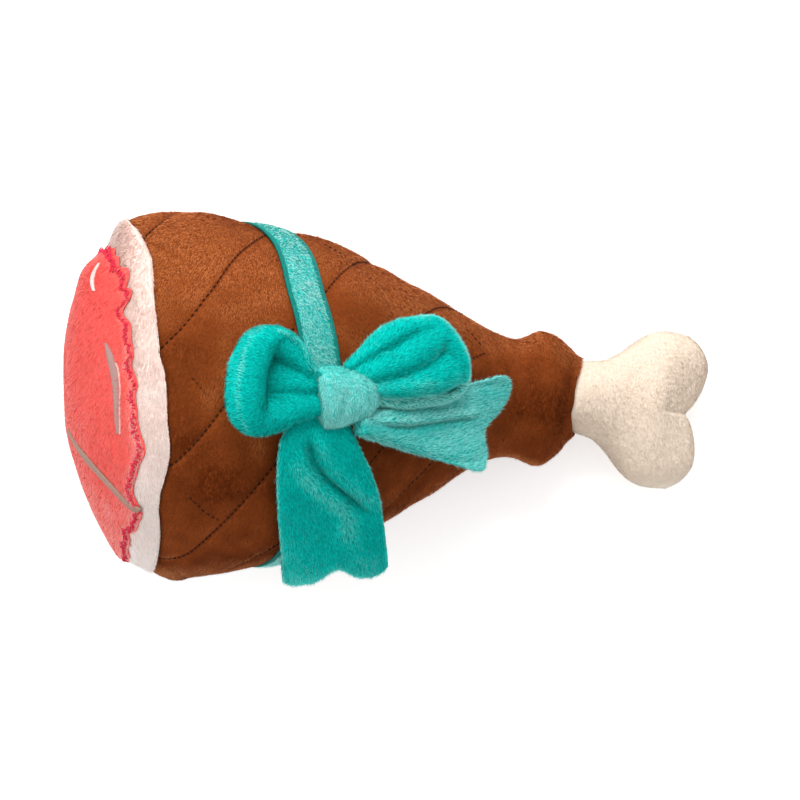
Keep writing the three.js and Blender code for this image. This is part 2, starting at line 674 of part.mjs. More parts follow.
function boneHalf(side) {
  return gridSolid(boneRowShares, boneColumnShares, boneSurface(side, 0), boneSurface(side, boneWall));
}

function bonePieces() {
  const mouth = hamSection(1);
  const bone = new THREE.Group();
  bone.name = 'bone_frame';
  bone.position.set(mouth.x, mouth.sway, mouth.z);
  bone.rotation.set(0, rad(bonePitchAngle), rad(boneYawAngle), 'ZYX');
  object.add(bone);
  bone.updateMatrixWorld(true);
  addPart(bone, 'bone_front', boneHalf(1), cream, 0.9);
  addPart(bone, 'bone_back', restFlat(boneHalf(-1), bone.matrixWorld), cream, 0.9);
  boneStuffing(bone);
}

// Stuffing in two wads, parted at the side seams, with a pocket for the squeaker between them
function squeakerOutline(offset) {
  const neckAngle = Math.acos((squeakerNeckRadius + offset) / (squeakerRadius + offset));
  const bulb = steps(7, -Math.PI / 2, neckAngle).map((angle) => new THREE.Vector2(
    (squeakerRadius + offset) * Math.cos(angle), (squeakerHalfHeight + offset) * Math.sin(angle)));
  bulb[0].x = 0;
  return bulb;
}

const neckTop = squeakerHalfHeight + squeakerNeckLength;

function squeakerFrame() {
  const s = hamSection(squeakerShare);
  const frame = new THREE.Group();
  frame.name = 'squeaker_frame';
  frame.position.set(s.x, s.sway - squeakerNeckLength / 2, s.z);
  frame.rotation.x = rad(seamAngle - 90);
  object.add(frame);
  frame.updateMatrixWorld(true);
  return frame;
}

function stuffing(frame) {
  const pocketNeck = squeakerNeckRadius + stuffingInset;
  const envelope = new THREE.LatheGeometry([
    ...squeakerOutline(stuffingInset),
    new THREE.Vector2(pocketNeck, neckTop + whistleFlange + stuffingInset),
    new THREE.Vector2(0, neckTop + whistleFlange + stuffingInset),
  ], 20).applyMatrix4(frame.matrixWorld);
  const depth = (share, angle) => skinDepth(share, angle) + stuffingInset;
  const shell = (row, angle) => {
    if (row >= 0) return hamPoint(row, angle, -depth(row, angle));
    const reach = Math.sin(Math.PI / 2 * (1 + row));
    return endPoint(reach * Math.cos(angle), reach * Math.sin(angle), 0, endPanelWall + stuffingInset);
  };
  const wad = (startAngle) => {
    const first = rad(startAngle);
    const inset = rad(180) / columnsPerPanel / 2;
    const cols = [inset, ...steps(columnsPerPanel / 2, 0, Math.PI).slice(1, -1), Math.PI - inset];
    const rows = [...domeRowShares, ...steps(quiltRows, 0, quiltRows * quiltRowShare), ...cuffRowShares.slice(0, 3)];
    const partingSide = (row, turn) => {
      const from = shell(row, first);
      const to = shell(row, first + Math.PI);
      const across = shell(row, first + Math.PI / 2).sub(shell(row, first - Math.PI / 2)).normalize();
      return from.lerp(to, (1 - Math.cos(turn)) / 2).addScaledVector(across, pieceGap / 2);
    };
    const fill = gridSolid(rows, cols, (row, turn) => shell(row, first + turn), partingSide);
    return toGeometry(toSolid(fill).subtract(toSolid(envelope)));
  };
  addPart(object, 'stuffing_front', wad(seamAngle - 180), fibre, 1);
  addPart(object, 'stuffing_back', wad(seamAngle), fibre, 1);
}

// Squeaker: a hollow bulb, and a whistle in its neck with a reed under a cap
function squeaker(frame) {
  const bore = squeakerNeckRadius - squeakerWall;
  const inside = squeakerOutline(-squeakerWall).reverse();
  const bulb = new THREE.LatheGeometry([
    ...squeakerOutline(0),
    new THREE.Vector2(squeakerNeckRadius, neckTop),
    new THREE.Vector2(bore, neckTop),
    ...inside,
  ], 20);
  addPart(frame, 'squeaker_bulb', bulb, plastic, 0.5);

  const stem = bore - pieceGap;
  const airway = stem - whistleWall;
  const flangeTop = neckTop + whistleFlange;
  const ledge = neckTop - squeakerNeckLength / 2;
  const reedSeat = airway - whistleWall;
  const body = new THREE.LatheGeometry([
    [stem, neckTop - squeakerNeckLength + whistleWall], [stem, neckTop + pieceGap],
    [squeakerNeckRadius, neckTop + pieceGap], [squeakerNeckRadius, flangeTop], [airway, flangeTop], [airway, ledge],
    [reedSeat, ledge], [reedSeat, neckTop - squeakerNeckLength + whistleWall],
    [stem, neckTop - squeakerNeckLength + whistleWall],
  ].map(([x, y]) => new THREE.Vector2(x, y)), 20);
  addPart(frame, 'whistle_body', body, plastic, 0.5);

  const reed = new THREE.CylinderGeometry(airway - pieceGap, airway - pieceGap, reedThickness, 20);
  addPart(frame, 'whistle_reed', reed, silver, 0.4).position.y = ledge + pieceGap + reedThickness / 2;

  const cap = new THREE.LatheGeometry([
    [airway - pieceGap, 0], [airway - pieceGap, capThickness], [reedSeat - whistleWall, capThickness],
    [reedSeat - whistleWall, 0], [airway - pieceGap, 0],
  ].map(([x, y]) => new THREE.Vector2(x, y)), 20);
  addPart(frame, 'whistle_cap', cap, plastic, 0.5).position.y = ledge + 2 * pieceGap + reedThickness;
}

function boneStuffing(bone) {
  const inset = boneWall + stuffingInset;
  const fill = gridSolid(boneRowShares.slice(1, -1), boneColumnShares.slice(1, -1),
    boneSurface(1, inset), boneSurface(-1, inset));
  addPart(bone, 'stuffing_bone', fill, fibre, 1);
}

skins();
meatEnd();
ribbons();
bowPieces();
bonePieces();
const squeakerPlace = squeakerFrame();
stuffing(squeakerPlace);
squeaker(squeakerPlace);

// The origin is under the middle of the whole toy, where it rests
object.updateMatrixWorld(true);
const bounds = new THREE.Box3().setFromObject(object, true);
const middle = bounds.getCenter(new THREE.Vector3());
object.position.set(-middle.x, -middle.y, -bounds.min.z);

export default object;
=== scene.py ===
import math

import bmesh
import bpy
import numpy as np
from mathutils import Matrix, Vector

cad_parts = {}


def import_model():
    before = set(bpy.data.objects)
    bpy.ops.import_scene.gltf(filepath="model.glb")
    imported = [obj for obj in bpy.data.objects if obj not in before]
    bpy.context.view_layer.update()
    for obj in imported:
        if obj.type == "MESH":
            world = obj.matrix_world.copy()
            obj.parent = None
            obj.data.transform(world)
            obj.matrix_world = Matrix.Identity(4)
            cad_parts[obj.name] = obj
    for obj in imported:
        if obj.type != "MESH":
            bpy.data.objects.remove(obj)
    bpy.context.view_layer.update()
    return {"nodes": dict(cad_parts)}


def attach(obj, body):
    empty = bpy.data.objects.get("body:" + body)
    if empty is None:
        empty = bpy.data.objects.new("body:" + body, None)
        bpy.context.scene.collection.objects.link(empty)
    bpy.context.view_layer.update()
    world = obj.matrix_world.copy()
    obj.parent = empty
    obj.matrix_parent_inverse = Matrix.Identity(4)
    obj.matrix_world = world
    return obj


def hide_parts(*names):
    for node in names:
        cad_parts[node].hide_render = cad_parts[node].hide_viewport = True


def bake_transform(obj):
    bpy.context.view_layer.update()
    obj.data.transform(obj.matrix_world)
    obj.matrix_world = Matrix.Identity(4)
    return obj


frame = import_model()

# Plush ham-leg dog toy. Shapes are worked out in millimetres with the solid model's own numbers
# and moved into the shared frame, which is in metres.
MM = 0.001
OBJECT_SHIFT = np.array((-87.121, 1.594, 0.0))
RNG = np.random.default_rng(11)

# The leg's own numbers
HAM_LENGTH = 156.0
HAM_HALF_WIDTH = 64.0
RIM_HEIGHT = 59.6
REST_CUT = 0.5
WIDE_DEPTH, NECK_DEPTH = 0.93, 1.0
DEPTH_GROWTH = (0.5, 0.85)
SKIN_WALL = 3.7
MOUTH_WALL = 1.1
MOUTH_ROLL = 0.5
SEAM_ANGLE = 85.5
QUILT_STEP = 8.25
QUILT_TURN = 11.25
QUILT_PHASE = 2.0
LINE_STEPS = 4
QUILT_DEPTH = 1.1
QUILT_PUFF = 0.2
QUILT_PILLOW = 1.7
QUILT_FADE = (0.6, 0.8)
CROSS_SHARE = 0.4
RIBBON_WIDTH = 11.5
RIBBON_SINK, RIBBON_SINK_REACH = 2.4, 7.5
RIBBON_PLACE, RIBBON_RISE = 0.19, 0.13
RIBBON_LOWER = 0.055
RIBBON_UPPER = 0.029
END_BULGE, END_LEAN, END_POWER = 24.0, 2.5, 1.75
PIECE_GAP = 0.3
BOW_SHARE = 0.356
END_YAW, MOUTH_YAW, YAW_FADE = 0.055, 0.12, (0.25, 0.9)
PILE_RISE = 0.9

# Each station: share of the length, half width, rim height, tilt in degrees, sway share
STATION_SHARES = np.array([
    (0.000, 0.938, 1.000, 14, 0.004), (0.060, 0.990, 0.957, 14, 0.002), (0.130, 1.000, 0.965, 14, -0.002),
    (0.234, 0.952, 0.955, 15, -0.012), (0.302, 0.923, 0.921, 16, -0.012), (0.392, 0.870, 0.871, 18, -0.012),
    (0.449, 0.815, 0.832, 19, -0.012), (0.506, 0.742, 0.785, 20, -0.010), (0.574, 0.650, 0.721, 20, -0.008),
    (0.642, 0.562, 0.651, 18, -0.006), (0.710, 0.462, 0.581, 15, 0.000), (0.776, 0.378, 0.523, 11, -0.006),
    (0.846, 0.328, 0.474, 8, -0.010), (0.914, 0.362, 0.430, 4, -0.012), (0.955, 0.314, 0.403, 0, -0.010),
    (0.985, 0.267, 0.379, -2, -0.008), (1.000, 0.252, 0.370, -3, -0.008)])
HALF_WIDTH, RIM, TILT, SWAY = 1, 2, 3, 4


# Small maths
def smooth(x, low, high):
    t = np.clip((x - low) / (high - low), 0, 1)
    return t * t * (3 - 2 * t)


def mix(a, b, t):
    return a + (b - a) * t


def hump(x, reach, at=0.0):
    """Bell of height 1 at a place, which fades over its reach."""
    return np.exp(-((x - at) / reach) ** 2)


def unit(v):
    return v / np.maximum(np.linalg.norm(v, axis=-1, keepdims=True), 1e-9)


def through(column, share):
    """Smooth curve through the stations, by cubic Hermite pieces."""
    xs, ys = STATION_SHARES[:, 0], STATION_SHARES[:, column]
    steps = np.diff(xs)
    slopes = np.diff(ys) / steps
    inner = (slopes[:-1] * steps[1:] + slopes[1:] * steps[:-1]) / (steps[:-1] + steps[1:])
    tangents = np.concatenate([[slopes[0]], inner, [slopes[-1]]])
    i = np.clip(np.searchsorted(xs, share, side="left") - 1, 0, len(xs) - 2)
    t = (share - xs[i]) / steps[i]
    t2, t3 = t * t, t * t * t
    return ((2 * t3 - 3 * t2 + 1) * ys[i] + (t3 - 2 * t2 + t) * steps[i] * tangents[i]
            + (3 * t2 - 2 * t3) * ys[i + 1] + (t3 - t2) * steps[i] * tangents[i + 1])


def catmull(values, at):
    """Smooth curve through values, by place in their list."""
    i = np.clip(at.astype(int), 0, len(values) - 2)
    t = at - i
    before = values[np.maximum(i - 1, 0)]
    after = values[np.minimum(i + 2, len(values) - 1)]
    a, b = values[i], values[i + 1]
    return 0.5 * (2 * a + (b - before) * t + (2 * before - 5 * a + 4 * b - after) * t ** 2
                  + (3 * a - before - 3 * b + after) * t ** 3)


def curve(points, at):
    """Catmull-Rom curve through rows of numbers."""
    points = np.asarray(points, float)
    return np.stack([catmull(points[:, k], at) for k in range(points.shape[1])], 1)


def run_length(line):
    """Length along a line of points, from 0."""
    return np.concatenate([[0], np.cumsum(np.linalg.norm(np.diff(line, axis=0), axis=1))])


def hashed(ix, iy, iz, seed):
    """Whole numbers mixed into one from 0 to 1; the factors are large odd numbers of no other meaning."""
    n = (ix * 374761393 + iy * 668265263 + iz * 1442695041 + seed * 974634777) & 0xFFFFFFFF
    n = ((n ^ (n >> 13)) * 1274126177) & 0xFFFFFFFF
    return ((n ^ (n >> 16)) & 0xFFFF) / 65535.0


def lumps(points, size, seed):
    """Smooth value noise from -1 to 1 at points in mm, with bumps of about that size."""
    p = np.asarray(points) / size + 1000.0
    cell = np.floor(p).astype(np.int64)
    f = p - cell
    f = f * f * (3 - 2 * f)
    total = 0.0
    for dx in (0, 1):
        for dy in (0, 1):
            for dz in (0, 1):
                weight = (np.abs(1 - dx - f[..., 0]) * np.abs(1 - dy - f[..., 1])
                          * np.abs(1 - dz - f[..., 2]))
                total = total + weight * hashed(cell[..., 0] + dx, cell[..., 1] + dy, cell[..., 2] + dz, seed)
    return 2 * total - 1


# The leg's surfaces
def ham_section(share):
    half_width = HAM_HALF_WIDTH * through(HALF_WIDTH, share)
    grown = np.clip((share - DEPTH_GROWTH[0]) / (DEPTH_GROWTH[1] - DEPTH_GROWTH[0]), 0, 1)
    return {
        "x": HAM_LENGTH * share,
        "z": RIM_HEIGHT * through(RIM, share) - REST_CUT,
        "tilt": np.radians(through(TILT, share)),
        "sway": HAM_HALF_WIDTH * through(SWAY, share),
        "half_width": half_width,
        "half_depth": half_width * mix(WIDE_DEPTH, NECK_DEPTH, grown),
    }


def yaw(share):
    """How far each end of the leg is skewed along it, for each millimetre across."""
    return MOUTH_YAW * smooth(share, YAW_FADE[1], 1) - END_YAW * (1 - smooth(share, 0, YAW_FADE[0]))


def ham_point(share, angle, lift=0.0):
    """Angle 0 faces up and +90 degrees faces +Y; lift stands off the smooth surface."""
    s = ham_section(share)
    slope = np.broadcast_arrays(np.cos(angle) / s["half_depth"], np.sin(angle) / s["half_width"])
    n = unit(np.stack(slope, -1))
    up = s["half_depth"] * np.cos(angle) + lift * n[..., 0]
    across = s["sway"] + s["half_width"] * np.sin(angle) + lift * n[..., 1]
    along = s["x"] + up * np.sin(s["tilt"]) + yaw(share) * (across - s["sway"])
    return np.stack(np.broadcast_arrays(along, across, s["z"] + up * np.cos(s["tilt"])), -1)


# Sag of the meat end toward -Y near its rim, in mm: its mean and how much more at the far side
SAG = (5.3, 3.2)
# Where the dome's edge puffs out along the leg, by share of its half width: place, reach and mm
EDGE_PUFFS = [(0.93, 0.1, 0.9), (0.75, 0.12, -1.0)]
# Flatter stretch of the dome's top, the same way
CROWN_FLAT = (-0.3, 0.22, 1.4)


def end_point(top, side, lift=0.0, inset=0.0):
    """Place on the domed meat end, by shares of its half depth and half width."""
    s = ham_section(np.float64(0.0))
    reach = np.hypot(top, side)
    at_rim = np.clip(reach, 0, 1) ** 8
    crown = (1 - np.clip(reach, 0, 1) ** END_POWER) ** (1 / END_POWER)
    bulge = (END_BULGE - inset) * crown + PIECE_GAP + lift
    up = top * (s["half_depth"] - inset)
    across = side * (s["half_width"] - inset)
    sewn = wave(SEAM_WAVE, np.arctan2(side, top)) * at_rim
    sag = (SAG[0] + SAG[1] * side) * side ** 2 * smooth(1 - reach, 0, 0.1)
    for at, spread, height in EDGE_PUFFS:
        sewn = sewn + smooth(1 - reach, 0, 0.05) * height * hump(side, spread, at)
    sewn = sewn - CROWN_FLAT[2] * crown * hump(side, CROWN_FLAT[1], CROWN_FLAT[0])
    drop = drop_below(0.0, np.arctan2(side, top)) * at_rim
    return np.stack(np.broadcast_arrays(
        s["x"] + up * np.sin(s["tilt"]) - bulge * np.cos(s["tilt"]) + yaw(0.0) * across + sewn,
        s["sway"] + across + END_LEAN * crown - sag - drop,
        s["z"] + up * np.cos(s["tilt"]) + bulge * np.sin(s["tilt"])), -1)


def ribbon_centre(angle):
    """Where the ribbon lies along the leg, as a share of its length."""
    lower = RIBBON_LOWER * np.minimum(0, np.sin(angle)) ** 2
    upper = RIBBON_UPPER * smooth(np.sin(angle), 0.55, 1.0)
    return RIBBON_PLACE + RIBBON_RISE * ((1 + np.cos(angle)) / 2) ** 1.5 + lower + upper


def off_ribbon(share, angle):
    """Distance in mm along the leg from the ribbon's middle."""
    return np.abs(share - ribbon_centre(angle)) * HAM_LENGTH


def ribbon_pinch(share, angle):
    return hump((share - ribbon_centre(angle)) * HAM_LENGTH, RIBBON_SINK_REACH)


# How far the quilting lines wander from their even spacing: angle in degrees, then each family's steps
QUILT_WANDER = np.array([
    (-94, 0, 0.3), (-66, 0, 0.95), (-43, 0, 0.85), (-34, 0, 0.3), (-20, 0, 0.1), (5, -0.3, -0.2),
    (15, -0.6, -0.4), (27, -0.7, -0.56), (35, -0.75, -0.4), (60, -0.35, 0), (85, 0, 0)])


def half_turn(angle):
    """Degrees from -180 to 180."""
    return (np.degrees(angle) + 180) % 360 - 180


def wander(angle, family):
    return np.interp(half_turn(angle), QUILT_WANDER[:, 0], QUILT_WANDER[:, family], left=0, right=0)


def stitch_distance(share, angle):
    """Distance in mm to the nearest line of each of the two families of quilting stitches."""
    turn = (np.degrees(angle) + 180 - SEAM_ANGLE) / QUILT_TURN
    along = share * HAM_LENGTH / QUILT_STEP
    radius = HAM_HALF_WIDTH * through(HALF_WIDTH, share)
    slant = np.sqrt((1 / (radius * np.radians(QUILT_TURN))) ** 2 + 1 / QUILT_STEP ** 2)

    def off(value):
        r = np.mod(value - QUILT_PHASE, LINE_STEPS)
        return np.minimum(r, LINE_STEPS - r)
    return off(turn - along - wander(angle, 1)) / slant, off(turn + along - wander(angle, 2)) / slant


def quilt_relief(share, angle):
    one, two = stitch_distance(share, angle)
    pillow = (1 - np.exp(-(one / QUILT_PILLOW))) * (1 - CROSS_SHARE * np.exp(-(two / QUILT_PILLOW)))
    fade = (1 - smooth(share, *QUILT_FADE)) * (1 - ribbon_pinch(share, angle))
    return (-QUILT_DEPTH + (QUILT_DEPTH + QUILT_PUFF) * pillow) * fade


# Meshes from grids of points
def linked(name, data):
    piece = bpy.data.objects.new(name, data)
    bpy.context.scene.collection.objects.link(piece)
    return piece


def mesh_object(name, points, faces):
    """Points are in the toy's own millimetres."""
    mesh = bpy.data.meshes.new(name)
    moved = (np.asarray(points, float).reshape(-1, 3) + OBJECT_SHIFT) * MM
    mesh.from_pydata(moved.tolist(), [], [list(map(int, f)) for f in faces])
    mesh.validate()
    mesh.shade_smooth()
    return linked(name, mesh)


def grid_quads(rows, cols, ring=False, first=0):
    i, j = np.meshgrid(np.arange(rows - 1), np.arange(cols if ring else cols - 1), indexing="ij")
    k = (j + 1) % cols
    quads = np.stack([i * cols + j, i * cols + k, (i + 1) * cols + k, (i + 1) * cols + j], -1)
    return quads.reshape(-1, 4) + first


def border_quads(rows, cols, ring):
    """Walls between two stacked grids along their shared border."""
    under = rows * cols
    top = (rows - 1) * cols
    quads = []
    for j in range(cols if ring else cols - 1):
        k = (j + 1) % cols
        quads.append((top + k, top + j, top + j + under, top + k + under))
        quads.append((j, k, k + under, j + under))
    if not ring:
        for i in range(rows - 1):
            a, b = i * cols, (i + 1) * cols
            quads.append((b, a, a + under, b + under))
            a, b = a + cols - 1, b + cols - 1
            quads.append((a, b, b + under, a + under))
    return quads


def face_out(piece):
    """Turns the faces out and joins points that coincide."""
    bm = bmesh.new()
    bm.from_mesh(piece.data)
    bmesh.ops.remove_doubles(bm, verts=bm.verts, dist=1e-6)
    bmesh.ops.recalc_face_normals(bm, faces=bm.faces)
    bm.to_mesh(piece.data)
    bm.free()
    piece.data.shade_smooth()
    return piece


def shell(name, outer, inner, ring=False):
    """Closed piece between two grids of points."""
    rows, cols = outer.shape[:2]
    faces = np.concatenate([grid_quads(rows, cols, ring),
                            grid_quads(rows, cols, ring, rows * cols)[:, ::-1],
                            np.array(border_quads(rows, cols, ring))])
    return face_out(mesh_object(name, np.concatenate([outer.reshape(-1, 3), inner.reshape(-1, 3)]), faces))


def vectors(data, field):
    """A field of vectors of a mesh as rows."""
    values = np.empty(len(data) * 3)
    data.foreach_get(field, values)
    return values.reshape(-1, 3)


# Pile

GROUND = 0.02
STRAND_SINK, LEAST_RISE = 0.12, 0.12
# Noise in the nap's direction: size in mm, share and first seed, for wide swirls and for tufts
SWIRL, TUFT = (5.0, 0.35, 3), (1.6, 0.14, 13)
# Lean in degrees: how much more where the pile is pressed on top, the most, its noise and its scatter
PRESSED, FLATTEST, LEAN_NOISE, LEAN_SCATTER = 18, 80, (3.0, 12, 23), 9
LENGTH_RANGE, WIDTH_RANGE, ROLL = (0.7, 1.25), (0.7, 1.2), 0.9
TONE_TUFT, TONE_SCATTER, TONE_RANGE, LEAST_FLECK = 0.06, 0.05, (0.03, 0.97), 0.4
# How much a strand's own direction and chance turn the way it catches light
SHEEN, GLINT = 0.3, 0.22


def bed_of(points, tris, nap, length, tone, keep=None):
    """Where strands grow: points in mm, each with a nap direction, a length and a tone."""
    a, b, c = (points[tris[:, k]] for k in range(3))
    face = np.cross(b - a, c - a)
    normals = np.zeros_like(points)
    for k in range(3):
        np.add.at(normals, tris[:, k], face)
    count = len(points)

    def at_each(value):
        return np.broadcast_to(np.asarray(value, float).reshape(-1), (count,))
    return {
        "points": points, "tris": tris, "normals": unit(normals),
        "nap": np.broadcast_to(np.asarray(nap, float).reshape(-1, 3), (count, 3)),
        "length": at_each(length), "tone": at_each(tone), "keep": at_each(1.0 if keep is None else keep),
    }


def bed_from_grid(outer, nap, length, tone, keep=None, ring=False):
    """Strands over one side of a grid."""
    quads = grid_quads(*outer.shape[:2], ring)
    tris = np.concatenate([quads[:, [0, 1, 2]], quads[:, [0, 2, 3]]])
    return bed_of(outer.reshape(-1, 3), tris, nap, length, tone, keep)


def bed_from_piece(piece, nap, length, tone):
    """Strands over a whole finished piece; nap is a direction or, as tone is, worked out from points."""
    mesh = piece.data
    mesh.calc_loop_triangles()
    points = vectors(mesh.vertices, "co") / MM - OBJECT_SHIFT
    tris = np.empty(len(mesh.loop_triangles) * 3, np.int32)
    mesh.loop_triangles.foreach_get("vertices", tris)
    return bed_of(points, tris.reshape(-1, 3), nap(points) if callable(nap) else nap, length, tone(points))


def joined_beds(beds):
    both = {key: np.concatenate([bed[key] for bed in beds]) for key in beds[0]}
    first = np.cumsum([0] + [len(bed["points"]) for bed in beds[:-1]])
    both["tris"] = np.concatenate([bed["tris"] + start for bed, start in zip(beds, first)])
    return both


def aim_out(bed, outer, centre):
    """Turns a grid's strands away from its centre."""
    if np.mean(np.sum(bed["normals"].reshape(outer.shape) * (outer - centre), -1)) < 0:
        bed["normals"] = -bed["normals"]


def grown_places(bed, per_mm2):
    """Random places on a bed, as corners of its triangles and their weights."""
    tris = bed["tris"]
    a, b, c = (bed["points"][tris[:, k]] for k in range(3))
    area = np.linalg.norm(np.cross(b - a, c - a), axis=1) / 2 * bed["keep"][tris].mean(1)
    count = int(area.sum() * per_mm2)
    chosen = np.searchsorted(np.cumsum(area), RNG.random(count) * area.sum())
    chosen = np.minimum(chosen, len(tris) - 1)
    r, s = RNG.random(count), RNG.random(count)
    swap = r + s > 1
    r[swap], s[swap] = 1 - r[swap], 1 - s[swap]
    return tris[chosen], np.stack([1 - r - s, r, s], 1)


def noise_vectors(points, size, seed):
    return np.stack([lumps(points, size, seed + k) for k in range(3)], -1)


def pile(name, bed, per_mm2, material, width, spread, lean=58.0, ruffle=1.0):
    """Plush pile as thin strands, each one triangle that lies along the nap."""
    corner, weights = grown_places(bed, per_mm2)
    count = len(corner)

    def blend(field):
        return np.einsum("nk,nk...->n...", weights, bed[field][corner])
    root, normal, nap = blend("points"), unit(blend("normals")), blend("nap")
    tuft = noise_vectors(root, TUFT[0], TUFT[2])
    nap = nap + ruffle * (SWIRL[1] * noise_vectors(root, SWIRL[0], SWIRL[2]) + TUFT[1] * tuft)
    nap = unit(nap - normal * np.sum(nap * normal, -1, keepdims=True))
    pressed = PRESSED * np.maximum(nap[:, 2], 0)
    size, share, seed = LEAN_NOISE
    uneven = ruffle * (share * lumps(root, size, seed) + RNG.normal(0, LEAN_SCATTER, count))
    slope = np.radians(np.minimum(lean + pressed, FLATTEST) + uneven)[:, None]
    way = unit(normal * np.cos(slope) + nap * np.sin(slope) + spread * RNG.normal(0, 1, (count, 3)))
    way = way - normal * np.minimum(np.sum(way * normal, -1, keepdims=True) - LEAST_RISE, 0)
    way = unit(way)
    long = (blend("length") * RNG.uniform(*LENGTH_RANGE, count))[:, None]
    side = unit(np.cross(way, normal))
    roll = RNG.uniform(-ROLL, ROLL, count)[:, None]
    side = side * np.cos(roll) + np.cross(way, side) * np.sin(roll)
    half = side * width / 2 * RNG.uniform(*WIDTH_RANGE, count)[:, None]
    foot = root - normal * STRAND_SINK
    corners = np.stack([foot - half, foot + half, foot + way * long], 1)
    up = np.sum(np.cross(corners[:, 1] - corners[:, 0], corners[:, 2] - corners[:, 0]) * normal, -1) < 0
    corners[up] = corners[up][:, [1, 0, 2]]
    corners[..., 2] = np.maximum(corners[..., 2], GROUND)
    fleck = max(ruffle, LEAST_FLECK) * (TONE_TUFT * tuft[:, 0] + RNG.normal(0, TONE_SCATTER, count))
    tone = np.clip(blend("tone") + fleck, *TONE_RANGE)
    return strand_object(name, corners, normal + SHEEN * way, tone, material, GLINT * ruffle)


def strand_object(name, corners, facing, tone, material, glint):
    """Strands as one mesh; its UV map holds root to tip across and the tone upward."""
    count = len(corners)
    mesh = bpy.data.meshes.new(name)
    mesh.vertices.add(3 * count)
    mesh.vertices.foreach_set("co", ((corners.reshape(-1, 3) + OBJECT_SHIFT) * MM).ravel())
    mesh.loops.add(3 * count)
    mesh.loops.foreach_set("vertex_index", np.arange(3 * count, dtype=np.int32))
    mesh.polygons.add(count)
    mesh.polygons.foreach_set("loop_start", np.arange(0, 3 * count, 3, dtype=np.int32))
    mesh.polygons.foreach_set("use_smooth", np.ones(count, bool))
    uv = mesh.uv_layers.new(name="OFBake")
    flat = [np.stack([np.full(count, across), tone + off], -1)
            for across, off in ((0.03, -0.01), (0.03, 0.01), (0.97, 0.0))]
    uv.data.foreach_set("uv", np.stack(flat, 1).ravel())
    mesh.update()
    shade = unit(facing + glint * RNG.normal(0, 1, facing.shape))
    mesh.normals_split_custom_set_from_vertices(np.repeat(shade, 3, axis=0))
    piece = linked(name, mesh)
    piece.data.materials.append(material)
    return piece


# Materials
def srgb(*rgb):
    """Linear colour of an sRGB colour from 0 to 255."""
    value = np.array(rgb) / 255
    return (*np.where(value <= 0.04045, value / 12.92, ((value + 0.055) / 1.055) ** 2.4), 1.0)


def grey(level):
    return (level, level, level, 1.0)


def new_material(name, roughness, specular=0.5):
    material = bpy.data.materials.new(name)
    material.use_nodes = True
    nodes, links = material.node_tree.nodes, material.node_tree.links
    shader = nodes["Principled BSDF"]
    shader.inputs["Roughness"].default_value = roughness
    shader.inputs["Specular IOR Level"].default_value = specular
    return material, nodes, links, shader


def add_node(nodes, kind, **values):
    """A shader node with values set on its inputs."""
    node = nodes.new(kind)
    for socket, value in values.items():
        node.inputs[socket].default_value = value
    return node


def ramp(nodes, stops):
    node = nodes.new("ShaderNodeValToRGB")
    elements = node.color_ramp.elements
    while len(elements) < len(stops):
        elements.new(0.5)
    for element, (place, colour) in zip(elements, stops):
        element.position = place
        element.color = colour
    return node


def strand_material(name, low, middle, high, rim, root_shade_level):
    """Pile: tone runs from low to high, painted shade darkens the root, and a painted sheen in the rim colour
    pales it where it is seen edge on.
    """
    material, nodes, links, shader = new_material(name, 0.8, 0.05)
    place = nodes.new("ShaderNodeUVMap")
    place.uv_map = "OFBake"
    apart = nodes.new("ShaderNodeSeparateXYZ")
    links.new(place.outputs[0], apart.inputs[0])
    tone = ramp(nodes, [(0.0, srgb(*low)), (0.5, srgb(*middle)), (1.0, srgb(*high))])
    links.new(apart.outputs["Y"], tone.inputs[0])
    # Painted shade: the strand darkens toward its root, where the pile shades itself.
    shade = ramp(nodes, [(0.0, grey(root_shade_level)), (0.6, grey(1.0))])
    links.new(apart.outputs["X"], shade.inputs[0])
    times = add_node(nodes, "ShaderNodeMix", Factor=1.0)
    times.data_type, times.blend_type = "RGBA", "MULTIPLY"
    links.new(tone.outputs[0], times.inputs["A"])
    links.new(shade.outputs[0], times.inputs["B"])
    # Painted sheen: the colour pales toward the rim colour where the strand is seen edge on.
    facing = add_node(nodes, "ShaderNodeLayerWeight", Blend=0.35)
    edge = ramp(nodes, [(0.6, grey(0.0)), (1.0, grey(0.6))])
    links.new(facing.outputs["Facing"], edge.inputs[0])
    painted_sheen = nodes.new("ShaderNodeMix")
    painted_sheen.data_type = "RGBA"
    links.new(edge.outputs[0], painted_sheen.inputs["Factor"])
    links.new(times.outputs["Result"], painted_sheen.inputs["A"])
    painted_sheen.inputs["B"].default_value = srgb(*rim)
    links.new(painted_sheen.outputs["Result"], shader.inputs["Base Color"])
    return material


CLOTH_RELIEF = 0.0005


def cloth_material(name, low, high, grain=900.0, bump=0.4, roughness=0.9, specular=0.05):
    """Backing fabric under the pile: fine fibre noise with its own relief."""
    material, nodes, links, shader = new_material(name, roughness, specular)
    place = nodes.new("ShaderNodeTexCoord")
    fine = add_node(nodes, "ShaderNodeTexNoise", Scale=grain, Detail=4.0)
    links.new(place.outputs["Object"], fine.inputs["Vector"])
    colour = ramp(nodes, [(0.3, srgb(*low)), (0.7, srgb(*high))])
    links.new(fine.outputs["Fac"], colour.inputs[0])
    links.new(colour.outputs[0], shader.inputs["Base Color"])
    relief = add_node(nodes, "ShaderNodeBump", Strength=bump, Distance=CLOTH_RELIEF)
    links.new(fine.outputs["Fac"], relief.inputs["Height"])
    links.new(relief.outputs[0], shader.inputs["Normal"])
    return material
